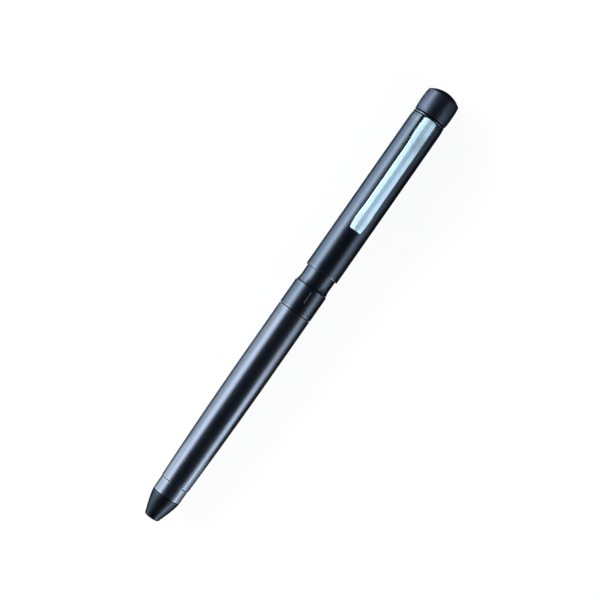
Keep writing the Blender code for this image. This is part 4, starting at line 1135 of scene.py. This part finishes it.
def make_world():
    """A dim room with a white wall low down all round."""
    world = bpy.data.worlds.new("studio")
    bpy.context.scene.world = world
    world.use_nodes = True
    tree = world.node_tree
    direction = add(tree, "ShaderNodeTexCoord").outputs["Generated"]
    height = add(tree, "ShaderNodeSeparateXYZ", {0: direction}).outputs["Z"]
    wall = maths(tree, "MULTIPLY", seen(tree), remap(tree, height, WALL_TOP, (1.0, 0.0)))
    tint = blend(tree, wall, (*ROOM_COLOUR, 1.0), (*WHITE, 1.0))
    feed(tree, tree.nodes["Background"], {"Color": tint})


def area_lamp(name, length, height, radiance, place, rotation, tint=WHITE):
    """A rectangular lamp out of the camera's sight. Its radiance is what a mirror would show of it."""
    light = bpy.data.lights.new(name, "AREA")
    light.color = tint
    light.shape = "RECTANGLE"
    light.size = length
    light.size_y = height
    light.energy = radiance * math.pi * length * height
    lamp = new_object(name, light)
    lamp.location = place
    lamp.rotation_euler = rotation
    lamp.visible_camera = False


def soft_box(name, side, elevation, height, start, end, radiance):
    """A long soft lamp beside the pen."""
    rise = math.radians(elevation)
    out = Vector((0.0, side * math.cos(rise), math.sin(rise)))
    place = Vector(((start + end) / 2, 0.0, AXIS_Z)) + out * BOX_DISTANCE
    area_lamp(name, end - start, height, radiance, place, (-out).to_track_quat("-Z", "Y").to_euler())


def table_lamp(name, side, start, end, near, far, radiance):
    """A warm lamp lying on the table beside the pen and shining up at it, as a lit table top does."""
    place = ((start + end) / 2, side * (near + far) / 2, TABLE_LAMP_Z)
    area_lamp(name, end - start, far - near, radiance, place, (math.pi, 0.0, 0.0), TABLE_LAMP_TINT)


def dark_card(name, near, far):
    """A dark card on the table beside the pen. Only reflections show it."""
    corners = ((near[0], near[1]), (far[0], near[1]), (far[0], far[1]), (near[0], far[1]))
    mesh = bpy.data.meshes.new(name)
    mesh.from_pydata([(x, y, CARD_Z) for x, y in corners], [], [(0, 1, 2, 3)])
    mesh.materials.append(new_finish(name, CARD_COLOUR, 1.0)[0])
    card = new_object(name, mesh)
    card.visible_camera = False
    card.visible_diffuse = False
    card.visible_shadow = False


def make_camera():
    """Looks down on the pen, leaning a little to one side of it, with the pen slanting across the picture."""
    pen_slant = math.radians(55.08)
    lean = math.radians(7.6)
    distance = 0.475
    picture_width = 0.1648
    target = Vector((0.00136, 0.00066, AXIS_Z))
    along = Vector((1.0, 0.0, 0.0))
    back = Vector((0.0, math.sin(lean), math.cos(lean)))
    aside = back.cross(along)
    right = along * math.cos(pen_slant) - aside * math.sin(pen_slant)
    up = along * math.sin(pen_slant) + aside * math.cos(pen_slant)
    data = bpy.data.cameras.new("camera")
    data.sensor_fit = "HORIZONTAL"
    data.lens = data.sensor_width * distance / picture_width
    camera = new_object("camera", data)
    rotation = Matrix((right, up, back)).transposed()
    camera.matrix_world = Matrix.Translation(target + back * distance) @ rotation.to_4x4()
    bpy.context.scene.camera = camera


make_floor()
make_world()
for lamp_name, numbers in SOFT_BOXES.items():
    soft_box(lamp_name, *numbers)
for lamp_name, numbers in TABLE_LAMPS.items():
    table_lamp(lamp_name, *numbers)
for card_name, corners in DARK_CARDS.items():
    dark_card(card_name, *corners)
make_camera()
bpy.context.scene.view_settings.view_transform = "Standard"
